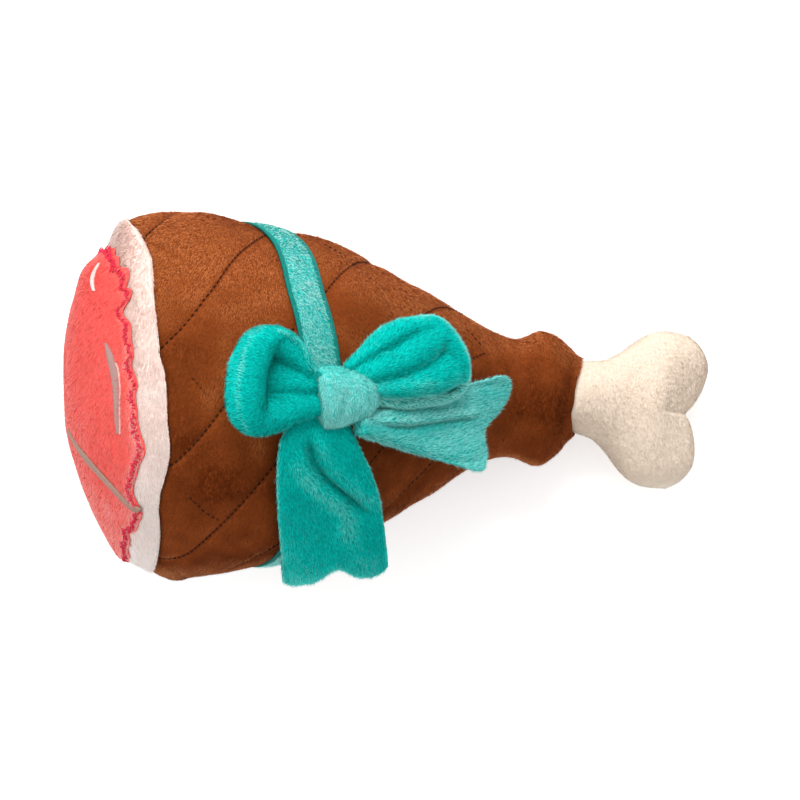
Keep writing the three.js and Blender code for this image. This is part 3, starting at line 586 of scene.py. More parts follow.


# Each plush: the pile's three tones, the colour of its painted sheen where seen edge on, the cloth's two tones,
# and how light its painted root shade leaves the roots
PLUSH_COLOURS = {
    "brown": ([(98, 40, 8), (154, 76, 32), (206, 121, 69)], (222, 142, 90),
              [(102, 46, 16), (130, 63, 26)], 0.92),
    "fat": ([(212, 176, 164), (249, 226, 216), (255, 246, 241)], (255, 248, 245),
            [(238, 210, 199), (246, 222, 212)], 0.98),
    "meat": ([(246, 98, 92), (253, 120, 112), (255, 180, 174)], (255, 170, 164),
             [(236, 78, 72), (250, 100, 93)], 0.95),
    "bow": ([(0, 182, 173), (0, 220, 209), (150, 240, 232)], (150, 236, 229),
            [(0, 128, 120), (0, 168, 158)], 0.72),
    "knot": ([(66, 208, 200), (150, 241, 235), (210, 249, 246)], (186, 240, 236),
             [(40, 172, 164), (78, 200, 192)], 0.92),
    "ribbon": ([(54, 196, 188), (120, 226, 219), (192, 244, 240)], (186, 242, 237),
               [(4, 140, 132), (30, 176, 167)], 0.82),
    "bone": ([(176, 152, 132), (224, 205, 185), (240, 226, 210)], (252, 245, 236),
             [(224, 205, 185), (236, 219, 200)], 0.98),
}
THREAD_COLOURS = {
    "brown_thread": [(30, 11, 3), (52, 21, 7)], "crimson_thread": [(190, 24, 56), (224, 58, 84)],
    "teal_thread": [(0, 92, 84), (0, 128, 118)], "grey_satin": [(144, 112, 108), (172, 140, 134)],
    # The pale satin is a painted reflection and the blush satin a painted highlight, both on the one grey satin
    # thread.
    "satin_painted_reflection": [(226, 192, 186), (244, 218, 212)], "satin_painted_highlight": [(206, 164, 158), (226, 190, 184)],
    "taupe_satin": [(132, 104, 92), (164, 134, 120)],
}
PILE, CLOTH = {}, {}
for plush_name, (tones, painted_sheen_colour, cloth_tones, painted_root_level) in PLUSH_COLOURS.items():
    PILE[plush_name] = strand_material(plush_name + "_pile", *tones, painted_sheen_colour, painted_root_level)
    CLOTH[plush_name] = cloth_material(plush_name + "_cloth", *cloth_tones)
THREAD = {name: cloth_material(name, *tones, grain=2500.0, bump=0.2, roughness=0.6, specular=0.12)
          for name, tones in THREAD_COLOURS.items()}
FIBRE = cloth_material("fibrefill", (222, 220, 212), (250, 249, 244), grain=600.0)


# Keeping pieces together
def dressed(piece, body, cloth, replaced, strands, hinge=None):
    """Cloth and its pile, carried by a body, or with only their transforms applied when a hinge is given."""
    piece.data.materials.clear()
    piece.data.materials.append(cloth)
    for part in (piece, strands):
        if hinge is None:
            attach(part, body)
        else:
            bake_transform(part)
    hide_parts(replaced)


def sewn_on(piece, material):
    """A piece of one material that the leg carries."""
    piece.data.materials.append(material)
    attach(piece, "body")


# Leg skin

# The stuffing's pressure on the quilted skin: rows and degrees of its grid, pressure, least and most move in
# mm, and steps. At this pressure the skin moves by 0.005 mm at most
SWELL_ROWS, SWELL_STEP = 53, 4.0
SWELL_PRESSURE, SWELL_RANGE, SWELL_FRAMES = 4.0, (-0.3, 1.3), 20
# Where it is held: mm from a stitch, hold of the fainter family, mm from the ribbon and above the floor
STITCH_HOLD, FAINT_HOLD, RIBBON_HOLD, FLOOR_HOLD = 1.2, 0.5, 1.5, 1.0


def simulated(name, points, held, pressure):
    """Cloth moves a sheet under pressure and its new points are given back; held is 1 where it is sewn down."""
    sheet = mesh_object(name, points, grid_quads(*points.shape[:2]))
    sewn = sheet.vertex_groups.new(name="sewn")
    for index, weight in enumerate(held.ravel()):
        sewn.add([index], float(weight), "REPLACE")
    cloth = sheet.modifiers.new("swell", "CLOTH")
    cloth.settings.vertex_group_mass = "sewn"
    cloth.settings.use_pressure = True
    cloth.settings.uniform_pressure_force = pressure
    cloth.settings.effector_weights.gravity = 0.0
    cloth.point_cache.frame_start = 1
    cloth.point_cache.frame_end = SWELL_FRAMES
    for step in range(1, SWELL_FRAMES + 1):
        bpy.context.scene.frame_set(step)
    moved = np.empty(points.size)
    result = sheet.evaluated_get(bpy.context.evaluated_depsgraph_get())
    result.data.vertices.foreach_get("co", moved)
    bpy.context.scene.frame_set(1)
    bpy.data.objects.remove(sheet)
    return moved.reshape(points.shape) / MM - OBJECT_SHIFT


def swell_field(start):
    """How far half of the leg's skin rises between its stitches."""
    angle = np.radians(np.arange(start, start + 180 + 1e-6, SWELL_STEP))
    shares, angles = np.meshgrid(np.linspace(0, 1, SWELL_ROWS), angle, indexing="ij")
    rest = ham_point(shares, angles)
    outward_way = unit(ham_point(shares, angles, 1.0) - rest)
    one, two = (np.clip(2 - gap / STITCH_HOLD, 0, 1) for gap in stitch_distance(shares, angles))
    sewn = np.maximum(np.maximum(one, FAINT_HOLD * two), smooth(shares, *QUILT_FADE))
    at_ribbon = off_ribbon(shares, angles) - RIBBON_WIDTH / 2 < RIBBON_HOLD
    sewn = np.maximum(sewn, at_ribbon | (rest[..., 2] < FLOOR_HOLD))
    sewn[[0, -1]] = 1
    sewn[:, [0, -1]] = 1
    face = np.cross(rest[1:, :-1] - rest[:-1, :-1], rest[:-1, 1:] - rest[:-1, :-1])
    side = -np.sign(np.sum(face * outward_way[:-1, :-1]))
    moved = simulated("swelling_skin", rest, sewn, side * SWELL_PRESSURE)
    return np.clip(np.sum((moved - rest) * outward_way, -1), *SWELL_RANGE)


def cubic(t):
    """Weights of the four neighbours of a place between the middle two."""
    return (-0.5 * t + t ** 2 - 0.5 * t ** 3, 1 - 2.5 * t ** 2 + 1.5 * t ** 3,
            0.5 * t + 2 * t ** 2 - 1.5 * t ** 3, -0.5 * t ** 2 + 0.5 * t ** 3)


def swell(share, angle):
    lift = np.zeros(np.broadcast(share, angle).shape)
    for start, field in SWELL.items():
        turn = np.mod(np.degrees(angle) - start, 360)
        i, j = np.broadcast_arrays(np.clip(share, 0, 1) * (field.shape[0] - 1),
                                   np.clip(turn, 0, 180) / SWELL_STEP)
        row, col = np.floor(i).astype(int), np.floor(j).astype(int)
        part = np.zeros_like(lift)
        for di, down in enumerate(cubic(i - row)):
            for dj, over in enumerate(cubic(j - col)):
                r = np.clip(row + di - 1, 0, field.shape[0] - 1)
                c = np.clip(col + dj - 1, 0, field.shape[1] - 1)
                part = part + down * over * field[r, c]
        lift = lift + np.where(turn <= 180, part, 0)
    return lift


SWELL = {start: swell_field(start) for start in (SEAM_ANGLE - 180, SEAM_ANGLE)}


# Its hand-sewn waviness along the leg, in mm by angle in degrees: at the meat end's seam and at the mouth
SEAM_WAVE = np.array([
    (-120, 0), (-87, -0.8), (-65, -1.8), (-55, -2.2), (-47, -2.9), (-41, -3.6), (-33, -3.2), (-26, -1.4),
    (-21, -0.6), (-17, -0.6), (-9, -1.3), (1, -1.0), (7, -1.6), (12, -2.9), (19, -2.8), (26, -2.4),
    (34, -1.8), (49, -0.8), (59, -1.8), (75, -3.0), (90, -2.0), (120, 0)])
MOUTH_WAVE = np.array([
    (-120, -0.6), (-89, -0.9), (-53, -1.9), (-26, -3.0), (-12, -2.4), (6, -2.6), (20, -2.4), (44, -1.6),
    (60, -1.5), (75, -2.0), (95, -2.0), (120, -0.8)])


def wave(table, angle):
    return np.interp(half_turn(angle), *table.T)


# Soft fullness of the leg: place along it in mm, reach, height, and the side it is on (+1 toward +Y)
BULGES = [(136.5, 8.0, 3.2, -1), (150.0, 5.0, 1.2, -1), (143.0, 5.0, 1.1, 1), (9.0, 6.0, 1.6, -1)]
# Uneven stuffing: size of the lumps, height and seed, first the wide ones, which the ribbon presses flat
SLACK, DIMPLES = (26.0, 0.7, 5), (9.0, 0.25, 6)
# Depth and reach to which the skin is drawn in at the meat end, along the seams and at the mouth's lip
RIM_DRAW, SEAM_DRAW, LIP_DRAW = (1.3, 1.8), (0.8, 1.6), (0.5, 2.6)
DEEPEST_DRAW, THINNEST_MOUTH, MOUTH_REACH = -3.0, 0.4, (12.0, 4.0)
FLOOR_GAP, INNER_FLOOR = 0.05, 0.6
PANEL_TRIM, PANEL_STEP = 0.14, 1.25
MOUTH_WALL_FROM = 0.944
PARTING, PILE_UNDER_RIBBON = 0.35, 0.6
SKIN_PILE, STITCH_CROP, STITCH_CROP_REACH = 1.55, 0.6, 0.9
# Sag toward -Y: depth and reach along the leg, at the wide end and at the mouth
RIM_DROP, MOUTH_DROP = (2.0, 11.0), (1.6, 9.0)
WAVE_REACH = (6.0, 10.0)


def drop_below(shares, angles):
    """How far cloth sags toward -Y, in mm: the lower side of the wide end and the mouth's far side."""
    along = shares * HAM_LENGTH
    rim = RIM_DROP[0] * smooth(-np.sin(angles), 0.75, 1.0) * hump(along, RIM_DROP[1])
    at_mouth = smooth(along, HAM_LENGTH - MOUTH_DROP[1], HAM_LENGTH)
    return rim + MOUTH_DROP[0] * smooth(np.sin(angles), 0.2, 0.9) * at_mouth


def sewn_shift(shares, angles):
    along = shares * HAM_LENGTH
    return (wave(SEAM_WAVE, angles) * hump(along, WAVE_REACH[0])
            + wave(MOUTH_WAVE, angles) * smooth(along, HAM_LENGTH - WAVE_REACH[1], HAM_LENGTH))


def settled(points, shares, angles, floor):
    """Points moved by the sewing and the sag, and kept above the floor."""
    points[..., 0] += sewn_shift(shares, angles)
    points[..., 1] -= drop_below(shares, angles)
    points[..., 2] = np.maximum(points[..., 2], floor)
    return points


def skin_outer(shares, angles):
    """Quilted outer surface, drawn in at the ribbon, the seams and the rim."""
    pinch = ribbon_pinch(shares, angles)
    base = ham_point(shares, angles)
    along = shares * HAM_LENGTH
    relief = quilt_relief(shares, angles) - RIBBON_SINK * pinch + swell(shares, angles)
    relief = relief + SLACK[1] * lumps(base, SLACK[0], SLACK[2]) * (1 - pinch)
    relief = relief + DIMPLES[1] * lumps(base, DIMPLES[0], DIMPLES[2])
    relief = relief - RIM_DRAW[0] * hump(along, RIM_DRAW[1])
    radius = HAM_HALF_WIDTH * through(HALF_WIDTH, shares)
    for seam in (SEAM_ANGLE, SEAM_ANGLE - 180, SEAM_ANGLE + 180):
        relief = relief - SEAM_DRAW[0] * hump((angles - np.radians(seam)) * radius, SEAM_DRAW[1])
    for at, reach, height, side in BULGES:
        bulge = height * hump(along, reach, at) * smooth(side * np.sin(angles), 0.35, 0.95)
        relief = relief + bulge * smooth(along, 0.0, 3.0)
    lip = np.clip((along - HAM_LENGTH + LIP_DRAW[1]) / LIP_DRAW[1], 0, 1)
    relief = relief - LIP_DRAW[0] * lip ** 2 - PILE_RISE * (1 - pinch)
    near_mouth = smooth(along, HAM_LENGTH - MOUTH_REACH[0], HAM_LENGTH - MOUTH_REACH[1])
    relief = np.maximum(relief, mix(DEEPEST_DRAW, THINNEST_MOUTH - MOUTH_WALL - MOUTH_ROLL, near_mouth))
    return settled(ham_point(shares, angles, relief), shares, angles, 0.0)


# The skin's tone: in the middle, how much lighter painted light makes it toward +Y and painted shade darker
# toward -Y, its mottling as share, size and seed, how painted shade and light make the thin end differ above
# and below, and how dark painted shade makes it along the quilting grooves, with its reach
SKIN_TONE, FAR_PAINTED_LIGHT, NEAR_PAINTED_SHADE = 0.31, 0.95, 0.14
MOTTLING = [(0.32, 15.0, 31), (0.22, 5.5, 32)]
THIN_END_PAINTED_SHADE, THIN_END_PAINTED_LIGHT = 0.04, 0.26
STITCH_PAINTED_SHADE, STITCH_PAINTED_SHADE_REACH = 0.15, 0.7


def skin_tone(outer, shares, angles, one, shown):
    """Pile tone: painted light toward +Y and painted shade toward -Y, painted shade and light on the thin end,
    painted shade along the quilting grooves, and random mottling.
    """
    far = np.sin(angles)
    tone = SKIN_TONE + FAR_PAINTED_LIGHT * np.maximum(far, 0) ** 1.4 + NEAR_PAINTED_SHADE * np.minimum(far, 0)
    tone = tone + sum(share * lumps(outer, size, seed) for share, size, seed in MOTTLING)
    # Painted shade on the thin end's upper side and painted light on its lower side.
    tone = tone - THIN_END_PAINTED_SHADE * smooth(shares, 0.62, 0.95) * smooth(far, -0.6, 0.2)
    tone = tone + THIN_END_PAINTED_LIGHT * smooth(shares, 0.45, 0.9) * smooth(-far, 0.2, 0.8)
    # Painted shade in the quilting grooves.
    return tone - STITCH_PAINTED_SHADE * hump(one, STITCH_PAINTED_SHADE_REACH) * shown


def skin_panel(name, start, replaced):
    trim = np.radians(PANEL_TRIM)
    share = np.concatenate([np.arange(0, HAM_LENGTH, 1.0), [HAM_LENGTH]]) / HAM_LENGTH
    angle = np.radians(np.arange(start, start + 180 + PANEL_STEP / 2, PANEL_STEP))
    angle[0] += trim
    angle[-1] -= trim
    shares, angles = np.meshgrid(share, angle, indexing="ij")
    outer = skin_outer(shares, angles)
    wall = mix(SKIN_WALL, MOUTH_WALL + MOUTH_ROLL, smooth(shares, MOUTH_WALL_FROM, 1))
    wall = wall + RIBBON_SINK * ribbon_pinch(shares, angles)
    piece = shell(name, outer, settled(ham_point(shares, angles, -wall), shares, angles, INNER_FLOOR))
    one = stitch_distance(shares, angles)[0]
    shown = 1 - smooth(shares, *QUILT_FADE)
    parting = 1 - shown * (one < PARTING)
    open_skin = off_ribbon(shares, angles) >= RIBBON_WIDTH / 2 - PILE_UNDER_RIBBON
    length = SKIN_PILE * (1 - STITCH_CROP * hump(one, STITCH_CROP_REACH) * shown)
    bed = bed_from_grid(outer, (-0.25, -1.0, 0.0), length, skin_tone(outer, shares, angles, one, shown),
                        parting * open_skin * (outer[..., 2] > FLOOR_GAP))
    aim_out(bed, outer, ham_point(shares, angles, -10.0))
    strands = pile(name + "_pile", bed, 8.8, PILE["brown"], width=0.19, lean=66, spread=0.08, ruffle=0.3)
    dressed(piece, "body", CLOTH["brown"], replaced, strands)


SHORTEST_STITCH = 0.1
STITCH_ARCH, STITCH_TIP = 0.16, 0.35


def thread_dash(start, end, normal, radius, sides=5, rings=4):
    """A short stitch: a thread that dips in at both ends."""
    along = end - start
    t = np.linspace(0, 1, rings + 1)
    length = np.linalg.norm(along)
    side = unit(np.cross(normal, along / length))
    arch = np.sin(np.pi * t) * length * STITCH_ARCH
    middle = start + along * t[:, None] + normal * arch[:, None]
    turn = np.linspace(0, 2 * np.pi, sides, endpoint=False)
    thick = radius * (STITCH_TIP + (1 - STITCH_TIP) * np.sin(np.pi * np.clip(t, 0.06, 0.94)) ** 0.5)
    ring = side * np.cos(turn)[:, None] + normal * np.sin(turn)[:, None]
    points = middle[:, None] + ring[None] * thick[:, None, None]
    caps = [tuple(range(sides))[::-1], tuple(rings * sides + j for j in range(sides))]
    return points.reshape(-1, 3), [tuple(quad) for quad in grid_quads(rings + 1, sides, True)] + caps


def thread_object(name, dashes, radius, material):
    """Many stitches as one piece; each dash is (start, end, surface normal)."""
    points, faces, count = [], [], 0
    for start, end, normal in dashes:
        if np.linalg.norm(end - start) < SHORTEST_STITCH:
            continue
        p, f = thread_dash(start, end, normal, radius)
        points.append(p)
        faces += [tuple(count + k for k in face) for face in f]
        count += len(p)
    sewn_on(mesh_object(name, np.concatenate(points), faces), material)


STITCH_PITCH, STITCH_LENGTH, STITCH_RADIUS = 2.1, 1.3, 0.27
STITCH_FLOOR, STITCH_OFF_RIBBON = 0.8, 0.5
# Slow noises, as size and seed: where the second family shows, and where stitches sink deeper, by how much
SHOWN_NOISE, SUNK_NOISE, SUNK = (20.0, 34), (11.0, 33), 0.6
QUILT_END = 0.74
# The two families of quilting lines: number, slant, how far a stitch stands off, and the least value of a
# slow noise at which it shows, since the second family lies deep in the pile
QUILT_FAMILIES = [(1, 1, 0.5, -math.inf), (2, -1, 0.1, 0.3)]


def quilt_line(family, sign, k):
    """A quilting line's shares and angles; the angle is found in a few rounds because the line wanders."""
    share = np.arange(0.6, HAM_LENGTH * QUILT_END, 0.1) / HAM_LENGTH
    step = QUILT_PHASE + LINE_STEPS * k + sign * share * HAM_LENGTH / QUILT_STEP
    angle = np.radians(step * QUILT_TURN - 180 + SEAM_ANGLE)
    for _ in range(4):
        angle = np.radians((step + wander(angle, family)) * QUILT_TURN - 180 + SEAM_ANGLE)
    return share, angle


def quilt_stitches():
    """Running stitch along both families of quilting lines, off the ribbon and off the floor."""
    dashes = []
    for family, sign, proud, least in QUILT_FAMILIES:
        for k in range(8):
            share, angle = quilt_line(family, sign, k)
            points = skin_outer(share, angle)
            length = run_length(points)
            for at in np.arange(0.5, length[-1] - STITCH_LENGTH, STITCH_PITCH):
                i, j = np.interp([at, at + STITCH_LENGTH], length, np.arange(len(share))).astype(int)
                buried = min(points[i, 2], points[j, 2]) < STITCH_FLOOR
                covered = off_ribbon(share[i], angle[i]) < RIBBON_WIDTH / 2 + STITCH_OFF_RIBBON
                if covered or buried or lumps(points[i], *SHOWN_NOISE) < least:
                    continue
                normal = unit(points[i] - ham_point(share[i], angle[i], -10.0))
                lift = proud - SUNK * max(0.0, float(lumps(points[i], *SUNK_NOISE)))
                dashes.append((points[i] + lift * normal, points[j] + lift * normal, normal))
    thread_object("quilting_stitches", dashes, STITCH_RADIUS, THREAD["brown_thread"])


# Meat end

# Edge of the meat patch: angle from the top toward +Y in degrees, share of the dome's radius
MEAT_EDGE_SHARES = np.array([
    (-180, 0.925), (-160, 0.955), (-140, 0.915), (-120, 0.95), (-100, 0.92), (-88, 0.945), (-78, 0.928),
    (-70, 0.908), (-61, 0.898), (-54, 0.932), (-48, 0.962), (-44, 0.96), (-41, 0.928), (-38, 0.908),
    (-33, 0.905), (-28, 0.925), (-23, 0.942), (-18, 0.94), (-13, 0.925), (-11, 0.91), (-5, 0.908),
    (2, 0.912), (8, 0.895), (12, 0.915), (17, 0.91), (21, 0.922), (25, 0.91), (29, 0.875), (32, 0.88),
    (35, 0.938), (37, 0.945), (42, 0.922), (44, 0.95), (47, 0.95), (53, 0.932), (59, 0.928), (68, 0.93),
    (79, 0.925), (95, 0.91), (112, 0.95), (130, 0.91), (150, 0.95), (166, 0.91), (180, 0.925)])
MEAT_TOP = 1.1
EDGE_RIPPLE, EDGE_RIPPLES = 0.006, 31
DOME_NAP = (0.0, -1.0, -0.3)
DOME_LUMPS = (18.0, 0.5, 41)
PANEL_WALL, PANEL_RIM, PANEL_UNDER_PATCH = 2.8, (1.0, 0.03), 0.03
PATCH_UNDER, PATCH_EDGE, PATCH_PILE_TO = 0.3, (1.0, 0.965), 0.998
AROUND = np.linspace(0, 2 * np.pi, 240, endpoint=False)


def meat_edge(angle):
    degrees = half_turn(angle)
    ripple = EDGE_RIPPLE * np.sin(np.radians(degrees) * EDGE_RIPPLES)
    return np.interp(degrees, *MEAT_EDGE_SHARES.T) + ripple


def dome_point(reach, angle, lift, inset=0.0):
    return end_point(reach * np.cos(angle), reach * np.sin(angle), lift, inset)


def dome_lumps(reaches, angles):
    return DOME_LUMPS[1] * lumps(dome_point(reaches, angles, 0.0), DOME_LUMPS[0], DOME_LUMPS[2])


def dome_cover(name, plush, outer, inner, tone, keep, fill, length, per_mm2, **strands_like):
    """One closed cover of the dome with its pile."""
    piece = shell(name + "_plush", outer, inner, ring=True)
    bed = bed_from_grid(outer, DOME_NAP, length, tone, keep, ring=True)
    aim_out(bed, outer, dome_point(0.0, 0.0, -30.0))
    strands = pile(name + "_pile", bed, per_mm2, PILE[plush], width=0.22, lean=66, **strands_like)
    dressed(piece, "body", CLOTH[plush], name, strands)


def end_panel():
    reaches, angles = np.meshgrid(np.sin(np.linspace(0.0, np.pi / 2, 64)), AROUND, indexing="ij")
    rim = -PANEL_RIM[0] * hump(1 - reaches, PANEL_RIM[1])
    lift = (dome_lumps(reaches, angles) + rim) * (reaches < 1) - PILE_RISE
    outer = dome_point(reaches, angles, lift)
    # Painted light toward -Y and painted shade toward +Y, set against the key lamp's shading.
    tone = 0.52 + 0.15 * lumps(outer, 8.0, 42) - 0.6 * np.sin(angles)
    dome_cover("end_panel", "fat", outer, dome_point(reaches, angles, 0.0, PANEL_WALL), tone,
               reaches > meat_edge(angles) - PANEL_UNDER_PATCH, fill=0.7, length=1.6, per_mm2=11.0,
               spread=0.07, ruffle=0.35)


def meat_patch():
    shares, angles = np.meshgrid(np.sin(np.linspace(0.0, np.pi / 2, 56)), AROUND, indexing="ij")
    reaches = shares * meat_edge(angles)
    soft = dome_lumps(reaches, angles)
    outer = dome_point(reaches, angles, MEAT_TOP + soft - PATCH_EDGE[0] * smooth(shares, PATCH_EDGE[1], 1.0))
    tone = 0.42 + 0.15 * lumps(outer, 10.0, 43) + 0.4 * smooth(shares, 0.93, 0.99)
    # Painted shade toward +Y and painted light toward -Y, set against the key lamp's shading.
    tone = tone - 0.3 * np.sin(angles) * shares
    dome_cover("meat_patch", "meat", outer, dome_point(reaches, angles, soft - PATCH_UNDER), tone,
               shares < PATCH_PILE_TO, fill=0.3, length=1.4, per_mm2=10.0, spread=0.08, ruffle=0.4)


# The stitches along the patch's edge: pitch, share left out, radius, slant, how far each one shifts in or out
# as a share of the dome, how proud it stands, and how far its ends reach in and out
EDGE_PITCH, EDGE_MISSED, EDGE_STITCH_RADIUS, EDGE_SLANT = 0.46, 0.22, 0.24, 0.55
EDGE_SHIFT, EDGE_PROUD, EDGE_ENDS, EDGE_DIP = (-0.004, 0.02), (-0.2, 0.55), (0.014, 0.004), 0.25


def edge_stitches():
    """Short stitches, half sunk in the pile, that hold the meat patch down along its scalloped edge."""
    angle = np.linspace(-np.pi, np.pi, 4001)
    length = run_length(dome_point(meat_edge(angle), angle, 1.2))
    centre = dome_point(0.0, 0.0, -60.0)
    dashes = []
    for place in np.arange(0, length[-1], EDGE_PITCH):
        if RNG.random() < EDGE_MISSED:
            continue
        a = np.interp(place, length, angle)
        slant = RNG.normal(0, EDGE_SLANT) / HAM_HALF_WIDTH
        edge = meat_edge(a) - RNG.uniform(*EDGE_SHIFT)
        proud = MEAT_TOP + RNG.uniform(*EDGE_PROUD)
        inner = dome_point(edge - EDGE_ENDS[0], a + slant, proud)
        outer = dome_point(edge + EDGE_ENDS[1], a - slant, proud - EDGE_DIP)
        dashes.append((inner, outer, unit((inner + outer) / 2 - centre)))
    thread_object("meat_edge_stitches", dashes, EDGE_STITCH_RADIUS, THREAD["crimson_thread"])


# Marbling: name, material, left and right edges as shares of the dome's radii, toward the top and toward +Y
MARBLING = [
    # The top leaf's pale satin is a painted reflection on grey satin.
    ("marbling_top", THREAD["satin_painted_reflection"],
     [(0.285, 0.80), (0.275, 0.75), (0.275, 0.70), (0.31, 0.64), (0.385, 0.59)],
     [(0.30, 0.805), (0.325, 0.75), (0.33, 0.70), (0.355, 0.64), (0.40, 0.59)]),
    ("marbling_middle", THREAD["grey_satin"],
     [(0.675, 0.25), (0.695, 0.19), (0.732, 0.095), (0.752, 0.0), (0.757, -0.095), (0.754, -0.19),
      (0.755, -0.245)],
     [(0.69, 0.255), (0.757, 0.19), (0.811, 0.098), (0.822, 0.005), (0.813, -0.092), (0.797, -0.187),
      (0.781, -0.25)]),
    # A painted highlight along the middle leaf's edge.
    ("marbling_middle_light", THREAD["satin_painted_highlight"],
     [(0.795, 0.14), (0.813, 0.098), (0.822, 0.005), (0.813, -0.092), (0.797, -0.187), (0.781, -0.25)],
     [(0.797, 0.142), (0.818, 0.10), (0.829, 0.006), (0.821, -0.091), (0.805, -0.186), (0.785, -0.25)]),
    ("marbling_lower", THREAD["taupe_satin"],
     [(-0.02, -0.262), (0.149, -0.363), (0.34, -0.464), (0.526, -0.569), (0.685, -0.681)],
     [(0.02, -0.245), (0.225, -0.338), (0.405, -0.436), (0.58, -0.545), (0.73, -0.655)]),
]
SATIN_THREADS, SATIN_CROWN, SATIN_RIDGE = 110, 0.45, 0.16


def marbling():
    """Satin stitch leaves: a low crowned bed of parallel threads."""
    v = np.linspace(-1, 1, 9)
    for name, material, left, right in MARBLING:
        along = np.linspace(0, len(left) - 1, SATIN_THREADS)
        ridge = SATIN_RIDGE * (np.arange(SATIN_THREADS) % 2)[:, None]
        ragged = 1 + RNG.normal(0, 0.05, SATIN_THREADS)[:, None]
        left, right = curve(left, along), curve(right, along)
        middle, half = (left + right) / 2, (right - left) / 2
        spot = middle[:, None] + half[:, None] * (v * ragged)[..., None]
        lift = MEAT_TOP + SATIN_CROWN + SATIN_CROWN * (1 - v ** 2) - ridge
        inner = end_point(spot[..., 0], spot[..., 1], MEAT_TOP - 0.2)
        piece = shell(name + "_satin", end_point(spot[..., 0], spot[..., 1], lift), inner)
        sewn_on(piece, material)
        if name in frame["nodes"]:
            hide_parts(name)


# Ribbon
RIBBON_CROWN, RIBBON_SEAT, RIBBON_UNDER = 0.45, 0.8, 1.6
EDGE_INSET, EDGE_RADIUS, EDGE_HEIGHT, EDGE_UNDER = 0.5, 0.7, 0.4, 1.3


def ribbon_point(w, a, lift, floor=0.0):
    """Place on the ribbon's path, w mm across it."""
    p = ham_point(ribbon_centre(a) + w / HAM_LENGTH, a, lift)
    p[..., 2] = np.maximum(p[..., 2], floor)
    return p


def ribbon_strip(name, start, replaced):
    trim = 0.15 / HAM_HALF_WIDTH
    angle = np.linspace(np.radians(start) + trim, np.radians(start + 180) - trim, 200)
    across = np.linspace(-RIBBON_WIDTH / 2, RIBBON_WIDTH / 2, 15)
    w, a = np.meshgrid(across, angle, indexing="ij")
    crown = RIBBON_CROWN * (1 - (w / (RIBBON_WIDTH / 2)) ** 2)
    outer = ribbon_point(w, a, crown - RIBBON_SEAT)
    strip = shell(name, outer, ribbon_point(w, a, -RIBBON_UNDER, 0.1))
    # Painted highlight on the ribbon's upper side, toward +Y.
    tone = 0.62 + 0.15 * lumps(outer, 6.0, 51) + 0.3 * smooth(np.sin(a), 0.2, 0.9)
    keep = (np.abs(w) < RIBBON_WIDTH / 2 - 1.3) & (outer[..., 2] > FLOOR_GAP)
    nap = 0.35 * np.gradient(outer, axis=0) - np.gradient(outer, axis=1)
    bed = bed_from_grid(outer, nap, 1.4, tone, keep)
    aim_out(bed, outer, ham_point(np.float64(0.25), np.float64(0.0), -60.0))
    strands = pile(name + "_pile", bed, 8.0, PILE["ribbon"], width=0.24, spread=0.16)
    dressed(strip, "body", CLOTH["ribbon"], replaced, strands)
    for edge, word in ((-1, "lower"), (1, "upper")):
        ribbon_edge(f"{name}_{word}_edge", edge, angle[0], angle[-1])


def ribbon_edge(name, edge, first, last):
    """Thick stitching along one edge of the ribbon."""
    turns = np.linspace(first, last, 560)[:, None]
    ring = np.radians(np.linspace(-100, 100, 8))
    stitch = 1 + 0.16 * (np.arange(len(turns)) % 2)[:, None]
    w = edge * (RIBBON_WIDTH / 2 - EDGE_INSET) + EDGE_RADIUS * np.sin(ring)[None] * stitch
    lift = EDGE_HEIGHT * np.cos(ring)[None] * stitch - RIBBON_SEAT
    under = ribbon_point(w, turns, -EDGE_UNDER + 0 * lift)
    sewn_on(shell(name, ribbon_point(w, turns, lift), under), THREAD["teal_thread"])


# Frames of the bow and the bone
def turned(axes, axis, degrees):
    """Axes as rows x, y, z, turned about the y or the z one."""
    c, s = math.cos(math.radians(degrees)), math.sin(math.radians(degrees))
    x, y, z = axes
    if axis == "y":
        return np.array([x * c - z * s, y, x * s + z * c])
    return np.array([x * c + y * s, y * c - x * s, z])


BOW_ORIGIN = ham_point(np.float64(BOW_SHARE), np.float64(0.0))
BOW_AXES = turned(np.eye(3), "y", 24)
BOW_SECTION = ham_section(np.float64(BOW_SHARE))
BOW_RADIUS = float(BOW_SECTION["half_width"])
KNOT_HALF_LENGTH, KNOT_HALF_WIDTH, KNOT_HEIGHT, KNOT_SEAT = 9.5, 11.0, 14.5, 2.6
LOOP_ROOT, TAIL_ROOT, HINGE_GAP = 3.9, 2.9, 0.45
# Where the soft pieces start to bend and have turned fully, along their hinges' frames, in mm
LEFT_BEND, RIGHT_BEND, LOWER_BEND = (3.5, -3.5), (-5, 4), (-4, 4)


def hinge_frame(side, lean, radius):
    place = np.array((side * (KNOT_HALF_LENGTH + HINGE_GAP + radius), 0, KNOT_SEAT + radius + PIECE_GAP))
    return BOW_ORIGIN + place @ BOW_AXES, turned(BOW_AXES, "y", lean)


LEFT_FRAME = hinge_frame(-1, -8, LOOP_ROOT)
RIGHT_FRAME = hinge_frame(1, 3, LOOP_ROOT)
TAIL_FRAME = hinge_frame(1, 15, TAIL_ROOT)


def placed(local, place):
    origin, axes = place
    return origin + np.asarray(local, float) @ axes


def within(points, place):
    """Points in a frame's own coordinates."""
    origin, axes = place
    return (points - origin) @ axes.T


def world(point):
    return tuple((np.asarray(point) + OBJECT_SHIFT) * MM)


def bend(place, start, end):
    """Where along a hinge's frame a soft piece starts to bend and where it has turned fully."""
    return tuple(world(placed((x, 0, 0), place)) for x in (start, end))


# Soft forms joined by remeshing
VOXEL, RELAX, RELAX_ROUNDS = 0.7, 0.5, 2


